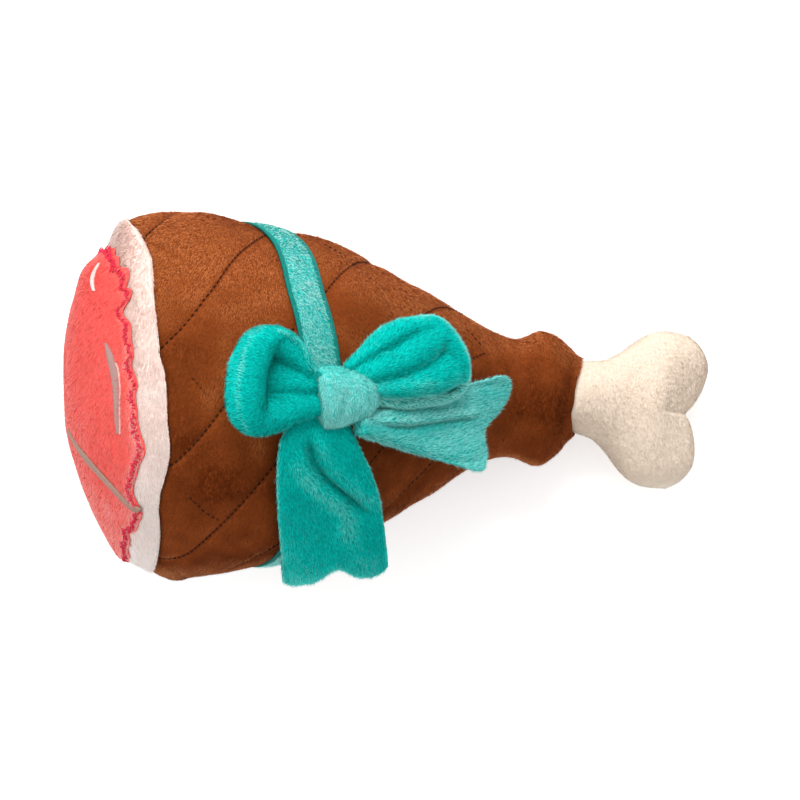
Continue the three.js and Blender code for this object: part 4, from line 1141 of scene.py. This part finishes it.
def tube_points(path, sides=20):
    """Swept round form. Each row of path: x, y, z, half width across, half height."""
    rows = curve(path, np.linspace(0, len(path) - 1, 6 * (len(path) - 1) + 1))
    centre, half_width, half_height = rows[:, :3], rows[:, 3], rows[:, 4]
    way = unit(np.gradient(centre, axis=0))
    side = unit(np.cross(np.array((0.0, 0.0, 1.0)) + 0 * way, way))
    up = unit(np.cross(way, side))
    turn = np.linspace(0, 2 * np.pi, sides, endpoint=False)
    ring = (side[:, None] * (half_width[:, None] * np.cos(turn))[..., None]
            + up[:, None] * (half_height[:, None] * np.sin(turn))[..., None])
    ends = []
    for end, direction in ((0, -1), (-1, 1)):
        caps = []
        for step in (0.35, 0.65, 0.87, 1.0):
            shrink = math.sqrt(max(0.0, 1 - step ** 2))
            reach = way[end] * direction * step * min(half_width[end], half_height[end])
            caps.append(centre[end] + reach + ring[end] * max(shrink, 0.02))
        ends.append(np.array(caps))
    return np.concatenate([ends[0][::-1], centre[:, None] + ring, ends[1]])


def fused(name, grids):
    """Closed grids joined into one soft skin."""
    points, faces, count = [], [], 0
    for grid in grids:
        rows, cols = grid.shape[:2]
        points.append(grid.reshape(-1, 3))
        faces += (grid_quads(rows, cols, True) + count).tolist()
        faces.append([count + j for j in range(cols)][::-1])
        faces.append([count + (rows - 1) * cols + j for j in range(cols)])
        count += rows * cols
    piece = mesh_object(name, np.concatenate(points), faces)
    bpy.context.view_layer.objects.active = piece
    remesh = piece.modifiers.new("fuse", "REMESH")
    remesh.mode = "VOXEL"
    remesh.voxel_size = VOXEL * MM
    relax = piece.modifiers.new("relax", "SMOOTH")
    relax.factor = RELAX
    relax.iterations = RELAX_ROUNDS
    bake_modifiers(piece)
    return piece


def bake_modifiers(piece):
    graph = bpy.context.evaluated_depsgraph_get()
    mesh = bpy.data.meshes.new_from_object(piece.evaluated_get(graph), depsgraph=graph)
    piece.modifiers.clear()
    piece.data = mesh
    mesh.name = piece.name
    mesh.shade_smooth()


def distance_to(local, line):
    """Distance in mm, seen along a frame's z, from points in it to a line drawn in its plane."""
    best = np.full(len(local), 1e9)
    for start, end in zip(line[:-1], line[1:]):
        start, end = np.array(start[:2], float), np.array(end[:2], float)
        way = end - start
        t = np.clip(((local[:, :2] - start) @ way) / (way @ way), 0, 1)
        best = np.minimum(best, np.linalg.norm(local[:, :2] - start - t[:, None] * way, axis=1))
    return best


# Left loop: rows are x, y, z, half width, half height in the left hinge's frame
LEFT_ROLL = [
    (-10.5, 19.6, 5, 2.0, 3.8), (-14.5, 18.8, 6, 4.2, 5.6), (-19, 16.2, 6.3, 6.0, 6.6),
    (-22.4, 9.5, 6.5, 6.6, 7.0), (-23.7, 0, 6.4, 6.8, 7.0), (-22.4, -5.8, 5.6, 6.4, 6.4),
    (-18, -8.0, 3.6, 5.6, 5.6), (-11, -7.0, 1.6, 4.6, 4.8), (-3, -4.6, 0.6, 3.2, 3.6),
    (3, -3.2, 0, 2.6, 2.9)]
LEFT_RIM = [
    (3, 6.6, 3, 1.0, 2.0), (-1.2, 8.6, 4.4, 1.1, 2.2), (-3.2, 12.4, 5.6, 1.2, 2.4),
    (-5.6, 16.4, 6.4, 1.2, 2.6), (-9, 19.2, 7.2, 1.4, 3), (-13, 20.6, 7.4, 2.0, 4)]
LEFT_ARM = [
    (3, 5.6, 1.4, 1.8, 2.6), (-2.4, 8.4, 2.6, 2.2, 3.2), (-5.8, 12.4, 3.4, 3.6, 3.8),
    (-9.4, 15.8, 4.2, 4.8, 4.4), (-13, 18.0, 5, 4.6, 5.0)]
LEFT_UPPER_LOBE = [
    (4, 3.4, 0.2, 3.2, 2.8), (-2, 3.8, 1.2, 3.5, 3.4), (-6, 4.4, 1.2, 4.2, 3.6),
    (-10.5, 5.6, 0.8, 5.6, 3.6), (-15, 6.6, 0.2, 6.4, 3.4), (-20, 7, -0.6, 6.6, 3.0)]
LEFT_LOWER_LOBE = [
    (4, -3, 0.2, 3.2, 2.8), (-3, -4.1, 1.2, 4.2, 3.8), (-9, -5.0, 1.4, 4.9, 4.4),
    (-15, -5.4, 1.6, 5.2, 4.6), (-19, -4, 1.0, 5.4, 4)]
LEFT_FLOOR = [(2, 1.5, -2.2, 7.0, 1.8), (-10, 4.2, -2.0, 13.0, 2.6), (-22, 5, -1.6, 14.0, 3.2)]
LEFT_FORMS = (LEFT_ROLL, LEFT_RIM, LEFT_ARM, LEFT_UPPER_LOBE, LEFT_LOWER_LOBE, LEFT_FLOOR)
# Line of the roll's painted highlight along its crest, in the hinge's plane
LEFT_CREST = [
    (-17.5, 22.4), (-21.4, 20.2), (-24.8, 14.3), (-26.6, 6.6), (-27.0, -0.3), (-26.2, -7.2), (-23.0, -11.8)]

# Right loop: puffed folds fanning out over a flat under layer
RIGHT_LOWER_FOLD = [
    (-8, 1.2, 0.8, 2.4, 2.8), (-4.2, 1.6, 1.8, 2.8, 4.0), (2.1, 2.5, 2.8, 3.5, 5.0),
    (8.4, 3.8, 3.4, 4.4, 5.6), (15.3, 5.8, 3.2, 5.6, 5.4), (20.5, 8.6, 2.4, 6.4, 4.6),
    (24.6, 10.4, 1.6, 5.2, 3.8)]
RIGHT_MIDDLE_FOLD = [
    (-11, 5.6, 0.8, 3.2, 3.2), (-6.5, 7.9, 1.8, 4.0, 4.6), (-2.9, 9.3, 2.5, 4.5, 5.2),
    (1.5, 11.1, 3.1, 4.9, 5.7), (6.2, 13.4, 3.6, 5.6, 5.9), (11.5, 16.4, 3.4, 5.6, 5.6),
    (16.5, 19.8, 2.6, 4.6, 4.8)]
RIGHT_UPPER_FOLD = [
    (-15, 9.4, 0.4, 1.6, 2.2), (-10.4, 12.8, 1.0, 2.3, 3.0), (-6.5, 15.9, 1.8, 3.1, 3.9),
    (-3.2, 18.2, 2.4, 3.7, 4.6), (0.9, 20.6, 2.8, 3.7, 4.8), (6.2, 22.4, 2.8, 3.4, 4.5),
    (11, 23.0, 2.6, 3.2, 4.3)]
RIGHT_END = [
    (10, 22.6, 1.8, 3.6, 4.2), (15.6, 22.4, 2.0, 4.2, 4.6), (20, 18.4, 2.2, 4.6, 4.8),
    (24.4, 12.4, 2.0, 4.2, 4.6), (26.0, 7.0, 1.4, 3.8, 3.8)]
RIGHT_UNDER = [
    (-4, 3, -1.6, 5.0, 1.8), (5, 7.5, -2, 9.0, 2), (14, 11, -2, 11, 2), (22, 10.5, -1.6, 8.0, 1.8)]
RIGHT_LIP = [
    (-6, -1.6, -0.2, 1.6, 2.4), (-2.3, -2.4, -0.3, 1.6, 2.6), (5.4, -2.9, -0.4, 1.8, 2.8),
    (12.3, -2.1, -0.4, 1.9, 2.8), (19.2, -1.2, -0.4, 1.9, 2.8), (25, 0.4, -0.3, 1.8, 2.6),
    (28, 3.6, -0.2, 1.6, 2.5), (28.9, 7.5, 0, 1.5, 2.4), (28.2, 11.6, 0, 1.4, 2.4), (26, 16.4, 0, 1.4, 2.4),
    (22.4, 21.2, 0.2, 1.4, 2.4), (18, 24.8, 0.4, 1.4, 2.4), (12, 25.4, 0.6, 1.2, 2.2)]
RIGHT_FORMS = (RIGHT_LOWER_FOLD, RIGHT_MIDDLE_FOLD, RIGHT_UPPER_FOLD, RIGHT_END, RIGHT_UNDER, RIGHT_LIP)
# Line of the painted sheen along the loop's outline, in the hinge's plane
RIGHT_CREST = [
    (-2.5, -2.4), (5.9, -3.5), (22.8, -1.9), (27.6, 0.2), (29.9, 5.3), (29.0, 11.2), (24.7, 18.7),
    (19.0, 25.3)]
LOOP_PILE, LOOP_PER_MM2 = 1.5, 8.0
BOW_STRANDS = {"width": 0.23, "lean": 62, "spread": 0.16}


def left_tone(points):
    local = within(points, LEFT_FRAME)
    # Painted highlights along the roll's crest and along the loop's outer rim.
    crest = 0.27 * hump(distance_to(local, LEFT_CREST), 1.2) * (local[:, 2] > 3)
    rim = 0.3 * hump(distance_to(local, LEFT_RIM), 1.2) * (local[:, 2] > 4)
    return 0.36 + 0.1 * lumps(points, 7.0, 61) + crest + rim


def right_tone(points):
    local = within(points, RIGHT_FRAME)
    # Painted sheen along the lip and the outline; also paler where y is low, over the lower fold.
    lip = 0.6 * hump(distance_to(local, RIGHT_LIP), 2.1) * (local[:, 2] < 3.8)
    lip = lip + 0.36 * hump(distance_to(local, RIGHT_CREST), 1.6) + 0.16 * smooth(-local[:, 1], -8.0, -3.0)
    return 0.4 + 0.1 * lumps(points, 7.0, 62) + lip


def loop(word, place, forms, tone, root, bent):
    """A padded loop whose nap runs away from its root."""
    node = "bow_loop_" + word
    piece = fused(node + "_plush", [placed(tube_points(path), place) for path in forms])
    centre = placed(root, place)
    bed = bed_from_piece(piece, lambda points: unit(points - centre), LOOP_PILE, tone)
    strands = pile(node + "_pile", bed, LOOP_PER_MM2, PILE["bow"], **BOW_STRANDS)
    dressed(piece, "bow_" + word, CLOTH["bow"], node, strands, bend(place, *bent))


# Knot

# Its outline, seen along the bow's own up axis
KNOT_OUTLINE = [
    (7.8, -0.3), (6.6, 4.2), (0.6, 7.9), (-5.4, 9.5), (-10.6, 9.4), (-13.2, 7.4), (-12.8, 2.2),
    (-11.9, -3.0), (-10.7, -7.8), (-8.5, -10.6), (-3.8, -10.4), (4.3, -7.6), (7.5, -3.9)]
KNOT_CENTRE = np.array((-2.6, -0.3))
KNOT_WRAP, KNOT_ROUND, KNOT_LEAST = 11.9, 2.4, 0.8
KNOT_FLARE, KNOT_CLOSING = 0.03, 0.97
# Its gathers: x where y is 0, slant, width and depth, then from which y to which they deepen, and which way
KNOT_GATHERS = [(4.2, -0.1, 1.1, 0.5, (-9, 0), 1), (-4.0, 0.2, 1.4, 0.5, (-8, 3), -1)]


def knot():
    """A band of plush drawn tight over the bow's middle, with a soft gather near one side."""
    at = np.linspace(1, len(KNOT_OUTLINE) + 1, 120, endpoint=False)
    rim = curve(KNOT_OUTLINE + KNOT_OUTLINE[:3], at)
    reach = np.sin(np.linspace(0, np.pi / 2, 44))
    plan = KNOT_CENTRE + reach[:, None, None] * (rim - KNOT_CENTRE)[None]
    x, y = plan[..., 0], plan[..., 1]
    r = np.broadcast_to(reach[:, None], x.shape)
    gather = sum(depth * hump(x, width, at + slant * y) * smooth(way * y, *ends)
                 for at, slant, width, depth, ends, way in KNOT_GATHERS)
    wrap = np.maximum(0, 1 - np.abs(y / KNOT_WRAP) ** 2.8) ** 0.5
    top = KNOT_SEAT + (KNOT_HEIGHT - KNOT_SEAT) * wrap - KNOT_ROUND * r ** 5 - gather * (1 - r ** 6)
    low = KNOT_SEAT - y ** 2 / (2 * BOW_RADIUS)
    top = np.maximum(top, low + KNOT_LEAST)
    place = (BOW_ORIGIN, BOW_AXES)
    side = []
    for drop in np.linspace(0, 1, 9)[1:]:
        spot = KNOT_CENTRE + (1 - KNOT_FLARE * drop) * (rim - KNOT_CENTRE)
        side.append(placed(np.concatenate([spot, mix(top[-1], low[-1], drop)[:, None]], 1), place))
    outer = np.concatenate([placed(np.stack([x, y, top], -1), place), np.array(side)])
    shrink = np.linspace(0, KNOT_CLOSING, len(outer))[:, None, None]
    base = KNOT_CENTRE + shrink * (rim - KNOT_CENTRE)[None]
    under = placed(np.concatenate([base, KNOT_SEAT - base[..., 1:] ** 2 / (2 * BOW_RADIUS)], -1), place)
    piece = shell("bow_knot_plush", outer, under, ring=True)
    bed = bed_from_piece(piece, (0.1, -1.0, 0.2), 1.4, lambda p: 0.5 + 0.1 * lumps(p, 5.0, 63))
    strands = pile("bow_knot_pile", bed, 9.0, PILE["knot"], width=0.23, lean=54, spread=0.22)
    dressed(piece, "body", CLOTH["knot"], "bow_knot", strands)


# Right tail, in its hinge's frame: places across from -1 to 1 and how far the end reaches there, in mm
RIGHT_TAIL_END = np.array([
    (-1, 35.5), (-0.96, 39.6), (-0.85, 41.8), (-0.71, 42.8), (-0.51, 43.8), (-0.28, 43.3), (-0.1, 43.1),
    (0.04, 44.8), (0.18, 47.2), (0.3, 50), (0.416, 52.4), (0.61, 53.9), (0.75, 53.8), (0.88, 52.6),
    (0.96, 50.4), (1, 47)])
RIGHT_TAIL_START = -11.0
# The right tail's lower and upper edges: y at its start and slope
RIGHT_TAIL_LOWER, RIGHT_TAIL_UPPER = (-13.2, -0.264), (-7.0, 0.23)
# Its fold: height of the step and how slowly it falls off, the depth, width and place of the valley beside
# it, the depth and width of the second crease, and how much of all that shows on the underside
FOLD_STEP, FOLD_FALL, FOLD_VALLEY, FOLD_CREASE = 1.9, 3.4, (1.2, 0.9, -0.6), (0.8, 1.2)
UNDER_SHARE = 0.6
# Half its thickness away from the root, its curl and the unevenness of its cloth
TAIL_HALF, TAIL_CURL, TAIL_LUMPS = 2.3, 3.6, (0.5, 9.0, 71)
# Share of its thickness that either tail loses at its edges
TAIL_THINNING = 0.8


def edge_reach(u, v):
    return np.clip((u ** 4 + np.abs(v) ** 4) ** 0.25, 0, 1)


def thinned(u, v):
    """Share of a tail's thickness that is left near its edges."""
    return 1 - TAIL_THINNING * edge_reach(u, v) ** 9


def tail_fold(x):
    """Where the right tail is folded on itself, in its hinge's frame."""
    return np.interp(x, (-3, 9, 23, 39), (-9.6, -10.1, -8.5, -7.2))


def tail_crease(x):
    return np.interp(x, (-4.5, 6, 19, 31), (-3.9, -4.9, -4.2, -2.7))


def right_tail_grid(u, v, sign):
    x = mix(RIGHT_TAIL_START, np.interp(v, *RIGHT_TAIL_END.T), u)
    lower, upper = (y + slope * (x - RIGHT_TAIL_START) for y, slope in (RIGHT_TAIL_LOWER, RIGHT_TAIL_UPPER))
    y = mix(lower, upper, (v + 1) / 2)
    above = y - tail_fold(x)
    shown = smooth(x, -6, 2) * (1 - smooth(x, 33, 42))
    step = FOLD_STEP * smooth(above, -0.3, 0.9) * np.exp(-np.maximum(above, 0) / FOLD_FALL) * shown
    valley = FOLD_VALLEY[0] * hump(above, *FOLD_VALLEY[1:]) * shown
    second = smooth(x, -8, 2) * (1 - smooth(x, 26, 40))
    crease = FOLD_CREASE[0] * hump(y - tail_crease(x), FOLD_CREASE[1]) * second
    half = mix(TAIL_ROOT, TAIL_HALF, smooth(u, 0, 0.3)) * thinned(u, v)
    folds = (step - valley - crease) * (1 if sign > 0 else UNDER_SHARE)
    z = TAIL_CURL * smooth(u, 0.4, 1) * v * v + sign * half + folds
    share, size, seed = TAIL_LUMPS
    z = z + share * lumps(np.stack([x, y, 0 * x], -1), size, seed)
    return placed(np.stack([x, y, z], -1), TAIL_FRAME)


def right_tail_tone(points):
    local = within(points, TAIL_FRAME)
    above = local[:, 1] - tail_fold(local[:, 0])
    # Painted highlight just above the fold and painted shadow of the overlap just below it.
    crest = 0.2 * hump(above, 1.2, 1.6) - 0.2 * hump(above, 1.6, -2.2)
    return 0.26 + 0.12 * lumps(points, 6.0, 72) + crest * (1 - smooth(local[:, 0], 30, 42))


def right_tail():
    u, v = np.meshgrid(np.linspace(0, 1, 90), np.linspace(-1, 1, 64), indexing="ij")
    outer = right_tail_grid(u, v, 1)
    piece = shell("bow_tail_right_plush", outer, right_tail_grid(u, v, -1))
    nap = unit(TAIL_FRAME[1][0]) + np.array((0, 0.45, 0))
    bed = bed_from_piece(piece, nap, 1.7, right_tail_tone)
    strands = pile("bow_tail_right_pile", bed, 7.5, PILE["knot"], **BOW_STRANDS)
    hinge = bend(TAIL_FRAME, *RIGHT_BEND)
    dressed(piece, "bow_right", CLOTH["ribbon"], "bow_tail_right", strands, hinge)


# Lower tail: share of its length, and its left and right edges from the bow's middle, in mm
LOWER_TAIL_EDGES = np.array([
    (-0.17, -13, -3), (-0.08, -17.5, 0), (0.0, -20.6, 2.2), (0.08, -21.5, 4.8), (0.17, -21.8, 7.2),
    (0.27, -21.9, 9.2), (0.38, -22.0, 10.8), (0.6, -22.2, 12.4), (0.8, -22.2, 13.2), (1.0, -22.0, 13.6)])
LOWER_TAIL_REACH = 72.0
LOWER_TAIL_START = -(KNOT_HALF_WIDTH + HINGE_GAP + TAIL_ROOT)
LOWER_TAIL_ROOT = -0.17
LOWER_TAIL_SEAT = KNOT_SEAT + PIECE_GAP + TAIL_ROOT
# How high its middle lies over the leg under the knot and at its end
LOWER_TAIL_LIFTS = (3.4, 9.5)
# Its notched end, as shares of its reach: slant, round corners, and the notch's depth, width and place
LOWER_SLANT, LOWER_CORNERS, LOWER_NOTCH = 0.09, 0.14, (0.2, 0.36, 0.03)
# Its folds as height, then width and place across: the fold from the knot, the ridges beside it, and a dent
LOWER_FOLD, LOWER_RIDGE, LOWER_FAR_RIDGE = (3.6, 0.13), (1.8, 0.24, -0.36), (1.2, 0.2, 0.36)
LOWER_DENT = 0.9
# How much of the sideways run follows the leg's skin, at the root and at the end
LOWER_HUG = (1.0, 0.3)


def lower_tail_grid(u, v, offset):
    tip = 1 - LOWER_SLANT * (v + 1) / 2 - LOWER_CORNERS * np.abs(v) ** 6
    tip = tip - LOWER_NOTCH[0] * hump(v, *LOWER_NOTCH[1:])
    path = LOWER_TAIL_REACH * u * mix(1, tip, np.clip(u, 0, 1))
    lift = mix(LOWER_TAIL_LIFTS[0], LOWER_TAIL_SEAT, smooth(u, LOWER_TAIL_ROOT, 0.02))
    lift = lift + (LOWER_TAIL_LIFTS[1] - LOWER_TAIL_SEAT) * smooth(u, 0.35, 1)
    angle = (LOWER_TAIL_START - path) / (BOW_RADIUS + LOWER_TAIL_SEAT)
    left, right = (np.interp(u, LOWER_TAIL_EDGES[:, 0], LOWER_TAIL_EDGES[:, k]) for k in (1, 2))
    round_over = BOW_SECTION["half_depth"] * np.sin(BOW_SECTION["tilt"]) * (1 - np.cos(angle))
    along = mix(left, right, (v + 1) / 2) + round_over
    hug = mix(*LOWER_HUG, smooth(u, 0.1, 0.8))
    point = ham_point(BOW_SHARE + hug * along / HAM_LENGTH, angle, lift + offset)
    point[..., 0] += (1 - hug) * along
    return point


def lower_tail():
    u, v = np.meshgrid(np.linspace(LOWER_TAIL_ROOT, 1, 120), np.linspace(-1, 1, 70), indexing="ij")
    line = np.interp(u, (0, 0.12, 0.22, 0.3, 0.42), (-0.24, -0.16, 0.06, 0.36, 0.66))
    shown = smooth(u, -0.05, 0.06) * (1 - smooth(u, 0.32, 0.48))
    fold = LOWER_FOLD[0] * hump(v, LOWER_FOLD[1], line) * shown
    near = smooth(u, 0.0, 0.2) * (1 - smooth(u, 0.45, 0.8))
    ridge = LOWER_RIDGE[0] * hump(v - line, *LOWER_RIDGE[1:]) * near
    ridge = ridge + LOWER_FAR_RIDGE[0] * hump(v - line, *LOWER_FAR_RIDGE[1:]) * shown
    dent = LOWER_DENT * hump(u, 0.1, 0.8) * hump(v, 0.22, 0.6)
    half = mix(TAIL_ROOT - 0.6, 2.4, smooth(u, 0, 0.3)) * thinned(np.abs(u), v)
    soft = 0.5 * lumps(np.stack([30 * u, 18 * v, 0 * u], -1), 9.0, 74)
    outer = lower_tail_grid(u, v, half - fold + ridge - dent + soft)
    inner = lower_tail_grid(u, v, -half - 0.7 * fold + soft)
    piece = shell("bow_tail_lower_plush", outer, inner)
    # Where the painted sheen at the tail's edges shows.
    edge = smooth(np.maximum(np.abs(v), u), 0.93, 0.99)
    beds = []
    for grid, other in ((outer, inner), (inner, outer)):
        # Painted sheen at the edges and painted highlight on the ridges; also darker toward +v from the middle
        # on.
        tone = 0.36 + 0.1 * lumps(grid, 7.0, 73) + 0.4 * edge + 0.16 * ridge - 0.12 * v * smooth(u, 0.3, 0.7)
        beds.append(bed_from_grid(grid, (0.1, -1.0, -0.6), 1.6, tone))
        aim_out(beds[-1], grid, other.mean((0, 1)) + np.array((0, 12.0, -20.0)))
    beds[1]["normals"] = -beds[1]["normals"]
    strands = pile("bow_tail_lower_pile", joined_beds(beds), 7.0, PILE["bow"], **BOW_STRANDS)
    root, ahead = (lower_tail_grid(np.float64(at), np.float64(0.0), np.float64(0.0)) for at in (0.0, 0.08))
    out = unit(ahead - root)
    hinge = tuple(world(root + at * out) for at in LOWER_BEND)
    dressed(piece, "bow_lower_tail", CLOTH["bow"], "bow_tail_lower", strands, hinge)


# Bone
BONE_LENGTH, BONE_TUCK, LOBE_SPAN, NOTCH_INSET, LOBE_DEPTH = 46.0, 7.0, 29.5, 6.5, 16.6
SHAFT_HALF = HAM_HALF_WIDTH * STATION_SHARES[-1, HALF_WIDTH] - MOUTH_WALL - 1.7
TUCK_HALF = SHAFT_HALF - MOUTH_WALL - PIECE_GAP
BONE_SAG = 0.8
BONE_OUTER, BONE_INNER = 0.3, 2.0
LOBE_AT, LOBE_WIDTH = 0.81, 0.96


def arc_curve(shares, start=()):
    """Catmull-Rom curve by share of its length; shares are of the bone's length and its lobes' span."""
    points = [*start, *((BONE_LENGTH * x, LOBE_SPAN * y) for x, y in shares)]
    line = curve(points, np.linspace(0, len(points) - 1, 400))
    length = run_length(line)
    length /= length[-1]
    return lambda share: np.stack([np.interp(share, length, line[:, k]) for k in range(2)], -1)


BONE_EDGE = arc_curve([(0.15, 0.49), (0.28, 0.61), (0.40, 0.78), (0.53, 0.93), (0.67, 1.0),
                       (LOBE_AT, LOBE_WIDTH)],
                      start=[(-BONE_TUCK, TUCK_HALF), (0, SHAFT_HALF)])
BONE_END = arc_curve([(LOBE_AT, LOBE_WIDTH), (0.92, 0.83), (0.995, 0.62), (0.985, 0.37), (0.93, 0.15),
                      (1 - NOTCH_INSET / BONE_LENGTH, 0)])


def bone_local(side, inset, u, v):
    """Half of the bone in its own frame: u runs from the tuck to the lobes, v across."""
    rim, tip = BONE_EDGE(u), BONE_END(1 - np.abs(v))
    notch = BONE_LENGTH - NOTCH_INSET
    x = mix(mix(-BONE_TUCK, notch, u), rim[..., 0], v * v)
    x = x + (tip[..., 0] - mix(notch, BONE_LENGTH * LOBE_AT, v * v)) * u ** 3
    y = np.sign(v) * mix(rim[..., 1] * np.abs(v), tip[..., 1], u ** 3)
    swell = mix(SHAFT_HALF, LOBE_DEPTH, smooth(u, 0.4, 0.75))
    root = mix(TUCK_HALF, swell, smooth(u, 0, 0.12))
    waist = 1 - 0.28 * smooth(u, 0.6, 0.9) * (1 - v ** 2) ** 2
    depth = root * np.maximum(0, 1 - v ** 2) ** 0.45 * waist * np.maximum(0, 1 - u ** 9) ** 0.5
    slim = 1 - inset / SHAFT_HALF
    lobe = np.sign(v) * LOBE_SPAN / 2 * smooth(u, 0.4, 0.8) * np.minimum(1, 3 * np.abs(v))
    x = x - inset * smooth(u, 0.9, 1)
    return np.stack([x, lobe + (y - lobe) * slim, side * (PIECE_GAP / 2 + depth * slim)], -1)


def bone_frame():
    mouth = ham_section(np.float64(1.0))
    origin = np.array((mouth["x"], mouth["sway"] - BONE_SAG, mouth["z"]), float)
    return origin, turned(turned(np.eye(3), "z", -9), "y", 16)


BONE_FRAME = bone_frame()


def bone_point(side, inset, u, v, floor):
    points = placed(bone_local(side, inset, u, v), BONE_FRAME)
    points[..., 2] = np.maximum(points[..., 2], floor)
    return points


def bone_half(name, side, replaced):
    rows = np.sin(np.linspace(0, np.pi / 2, 70)) ** 1.1
    u, v = np.meshgrid(rows, np.sin(np.linspace(-np.pi / 2, np.pi / 2, 71)), indexing="ij")
    outer = bone_point(side, BONE_OUTER, u, v, 0.0)
    piece = shell(name, outer, bone_point(side, BONE_INNER, u, v, 0.4))
    # Painted shade toward +Y and painted light toward -Y on the lobes, set against the key lamp's shading.
    tone = 0.5 + 0.16 * lumps(outer, 9.0, 81) - 0.45 * u * unit(outer - outer.mean((0, 1)))[..., 1]
    bed = bed_from_grid(outer, (0.3, -1.0, 0.0), 1.1, tone, (u > 0.05) & (outer[..., 2] > FLOOR_GAP))
    aim_out(bed, outer, placed((20, 0, 0), BONE_FRAME))
    strands = pile(name + "_pile", bed, 11.0, PILE["bone"], width=0.2, lean=74, spread=0.05, ruffle=0.14)
    dressed(piece, "body", CLOTH["bone"], replaced, strands)


# Stuffing and squeaker
def stuffing(node, seed):
    """Loose fibrefill: the wad's solid with a lumpy, woolly surface, drawn in from its neighbours."""
    piece = linked(node + "_fill", frame["nodes"][node].data.copy())
    split = piece.modifiers.new("split", "SUBSURF")
    split.subdivision_type = "SIMPLE"
    split.levels = 2
    bake_modifiers(piece)
    mesh = piece.data
    points, normals = vectors(mesh.vertices, "co"), vectors(mesh.vertices, "normal")
    sunk = (0.25 + 0.25 * lumps(points / MM, 5.0, seed))[:, None]
    mesh.vertices.foreach_set("co", (points - normals * sunk * MM).ravel())
    mesh.update()
    mesh.materials.clear()
    sewn_on(piece, FIBRE)
    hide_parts(node)


def plastic_material():
    material, nodes, links, shader = new_material("squeaker_plastic", 0.42)
    place = nodes.new("ShaderNodeTexCoord")
    cloud = add_node(nodes, "ShaderNodeTexNoise", Scale=180.0)
    links.new(place.outputs["Object"], cloud.inputs["Vector"])
    colour = ramp(nodes, [(0.35, srgb(226, 222, 210)), (0.65, srgb(238, 236, 226))])
    links.new(cloud.outputs["Fac"], colour.inputs[0])
    links.new(colour.outputs[0], shader.inputs["Base Color"])
    return material


def squeaker():
    plastic = plastic_material()
    for node in ("squeaker_bulb", "whistle_body", "whistle_reed", "whistle_cap"):
        carried = frame["nodes"][node]
        carried.data.materials.clear()
        carried.data.materials.append(plastic)


# Floor, light and camera, in metres and watts
FLOOR_SIZE, FLOOR_DROP, FLOOR_GLOW = 3.0, 0.0002, 0.42
SKY_STRENGTH = 0.78
AIM = (0, 0, 0.05)
LAMPS = [("key", (-0.12, 0.85, 0.95), 0.7, 15.0), ("side", (-1.1, -0.15, 0.6), 1.2, 4.5)]
CAMERA_PLACE, CAMERA_LENS, CAMERA_SENSOR, CAMERA_END = (0.00352, -0.00078, 1.140), 139.8, 36.0, 20.0


def floor():
    mesh = bpy.data.meshes.new("floor")
    corners = [(x * FLOOR_SIZE, y * FLOOR_SIZE, -FLOOR_DROP) for x, y in ((-1, -1), (1, -1), (1, 1), (-1, 1))]
    mesh.from_pydata(corners, [], [(0, 1, 2, 3)])
    piece = linked("floor", mesh)
    material, nodes, links, shader = new_material("floor_white", 0.9, 0.1)
    shader.inputs["Base Color"].default_value = grey(0.93)
    shader.inputs["Emission Color"].default_value = grey(1.0)
    path = nodes.new("ShaderNodeLightPath")
    level = nodes.new("ShaderNodeMath")
    level.operation = "MULTIPLY"
    level.inputs[1].default_value = FLOOR_GLOW
    links.new(path.outputs["Is Camera Ray"], level.inputs[0])
    links.new(level.outputs[0], shader.inputs["Emission Strength"])
    piece.data.materials.append(material)


def sky():
    backdrop = bpy.data.worlds.new("studio")
    bpy.context.scene.world = backdrop
    backdrop.use_nodes = True
    background = backdrop.node_tree.nodes["Background"]
    background.inputs["Color"].default_value = grey(1.0)
    background.inputs["Strength"].default_value = SKY_STRENGTH


def lamp(name, place, size, power):
    data = bpy.data.lights.new(name, "AREA")
    data.shape = "SQUARE"
    data.size = size
    data.energy = power
    light = linked(name, data)
    light.location = place
    light.rotation_euler = (Vector(AIM) - Vector(place)).to_track_quat("-Z", "Y").to_euler()


def camera():
    data = bpy.data.cameras.new("camera")
    data.sensor_width = CAMERA_SENSOR
    data.lens = CAMERA_LENS
    data.clip_end = CAMERA_END
    view = linked("camera", data)
    view.location = CAMERA_PLACE
    bpy.context.scene.camera = view


camera()
floor()
sky()
for light_row in LAMPS:
    lamp(*light_row)
bpy.context.scene.view_settings.view_transform = "Standard"
skin_panel("leg_skin_front", SEAM_ANGLE - 180, "skin_front")
skin_panel("leg_skin_back", SEAM_ANGLE, "skin_back")
quilt_stitches()
end_panel()
meat_patch()
edge_stitches()
marbling()
ribbon_strip("ribbon_front_strip", SEAM_ANGLE - 180, "ribbon_front")
ribbon_strip("ribbon_back_strip", SEAM_ANGLE, "ribbon_back")
knot()
loop("left", LEFT_FRAME, LEFT_FORMS, left_tone, (8, 3, 0), LEFT_BEND)
loop("right", RIGHT_FRAME, RIGHT_FORMS, right_tone, (-14, 2, 0), RIGHT_BEND)
right_tail()
lower_tail()
bone_half("bone_front_plush", 1, "bone_front")
bone_half("bone_back_plush", -1, "bone_back")
for number, wad in enumerate(("stuffing_front", "stuffing_back", "stuffing_bone")):
    stuffing(wad, 91 + number)
squeaker()
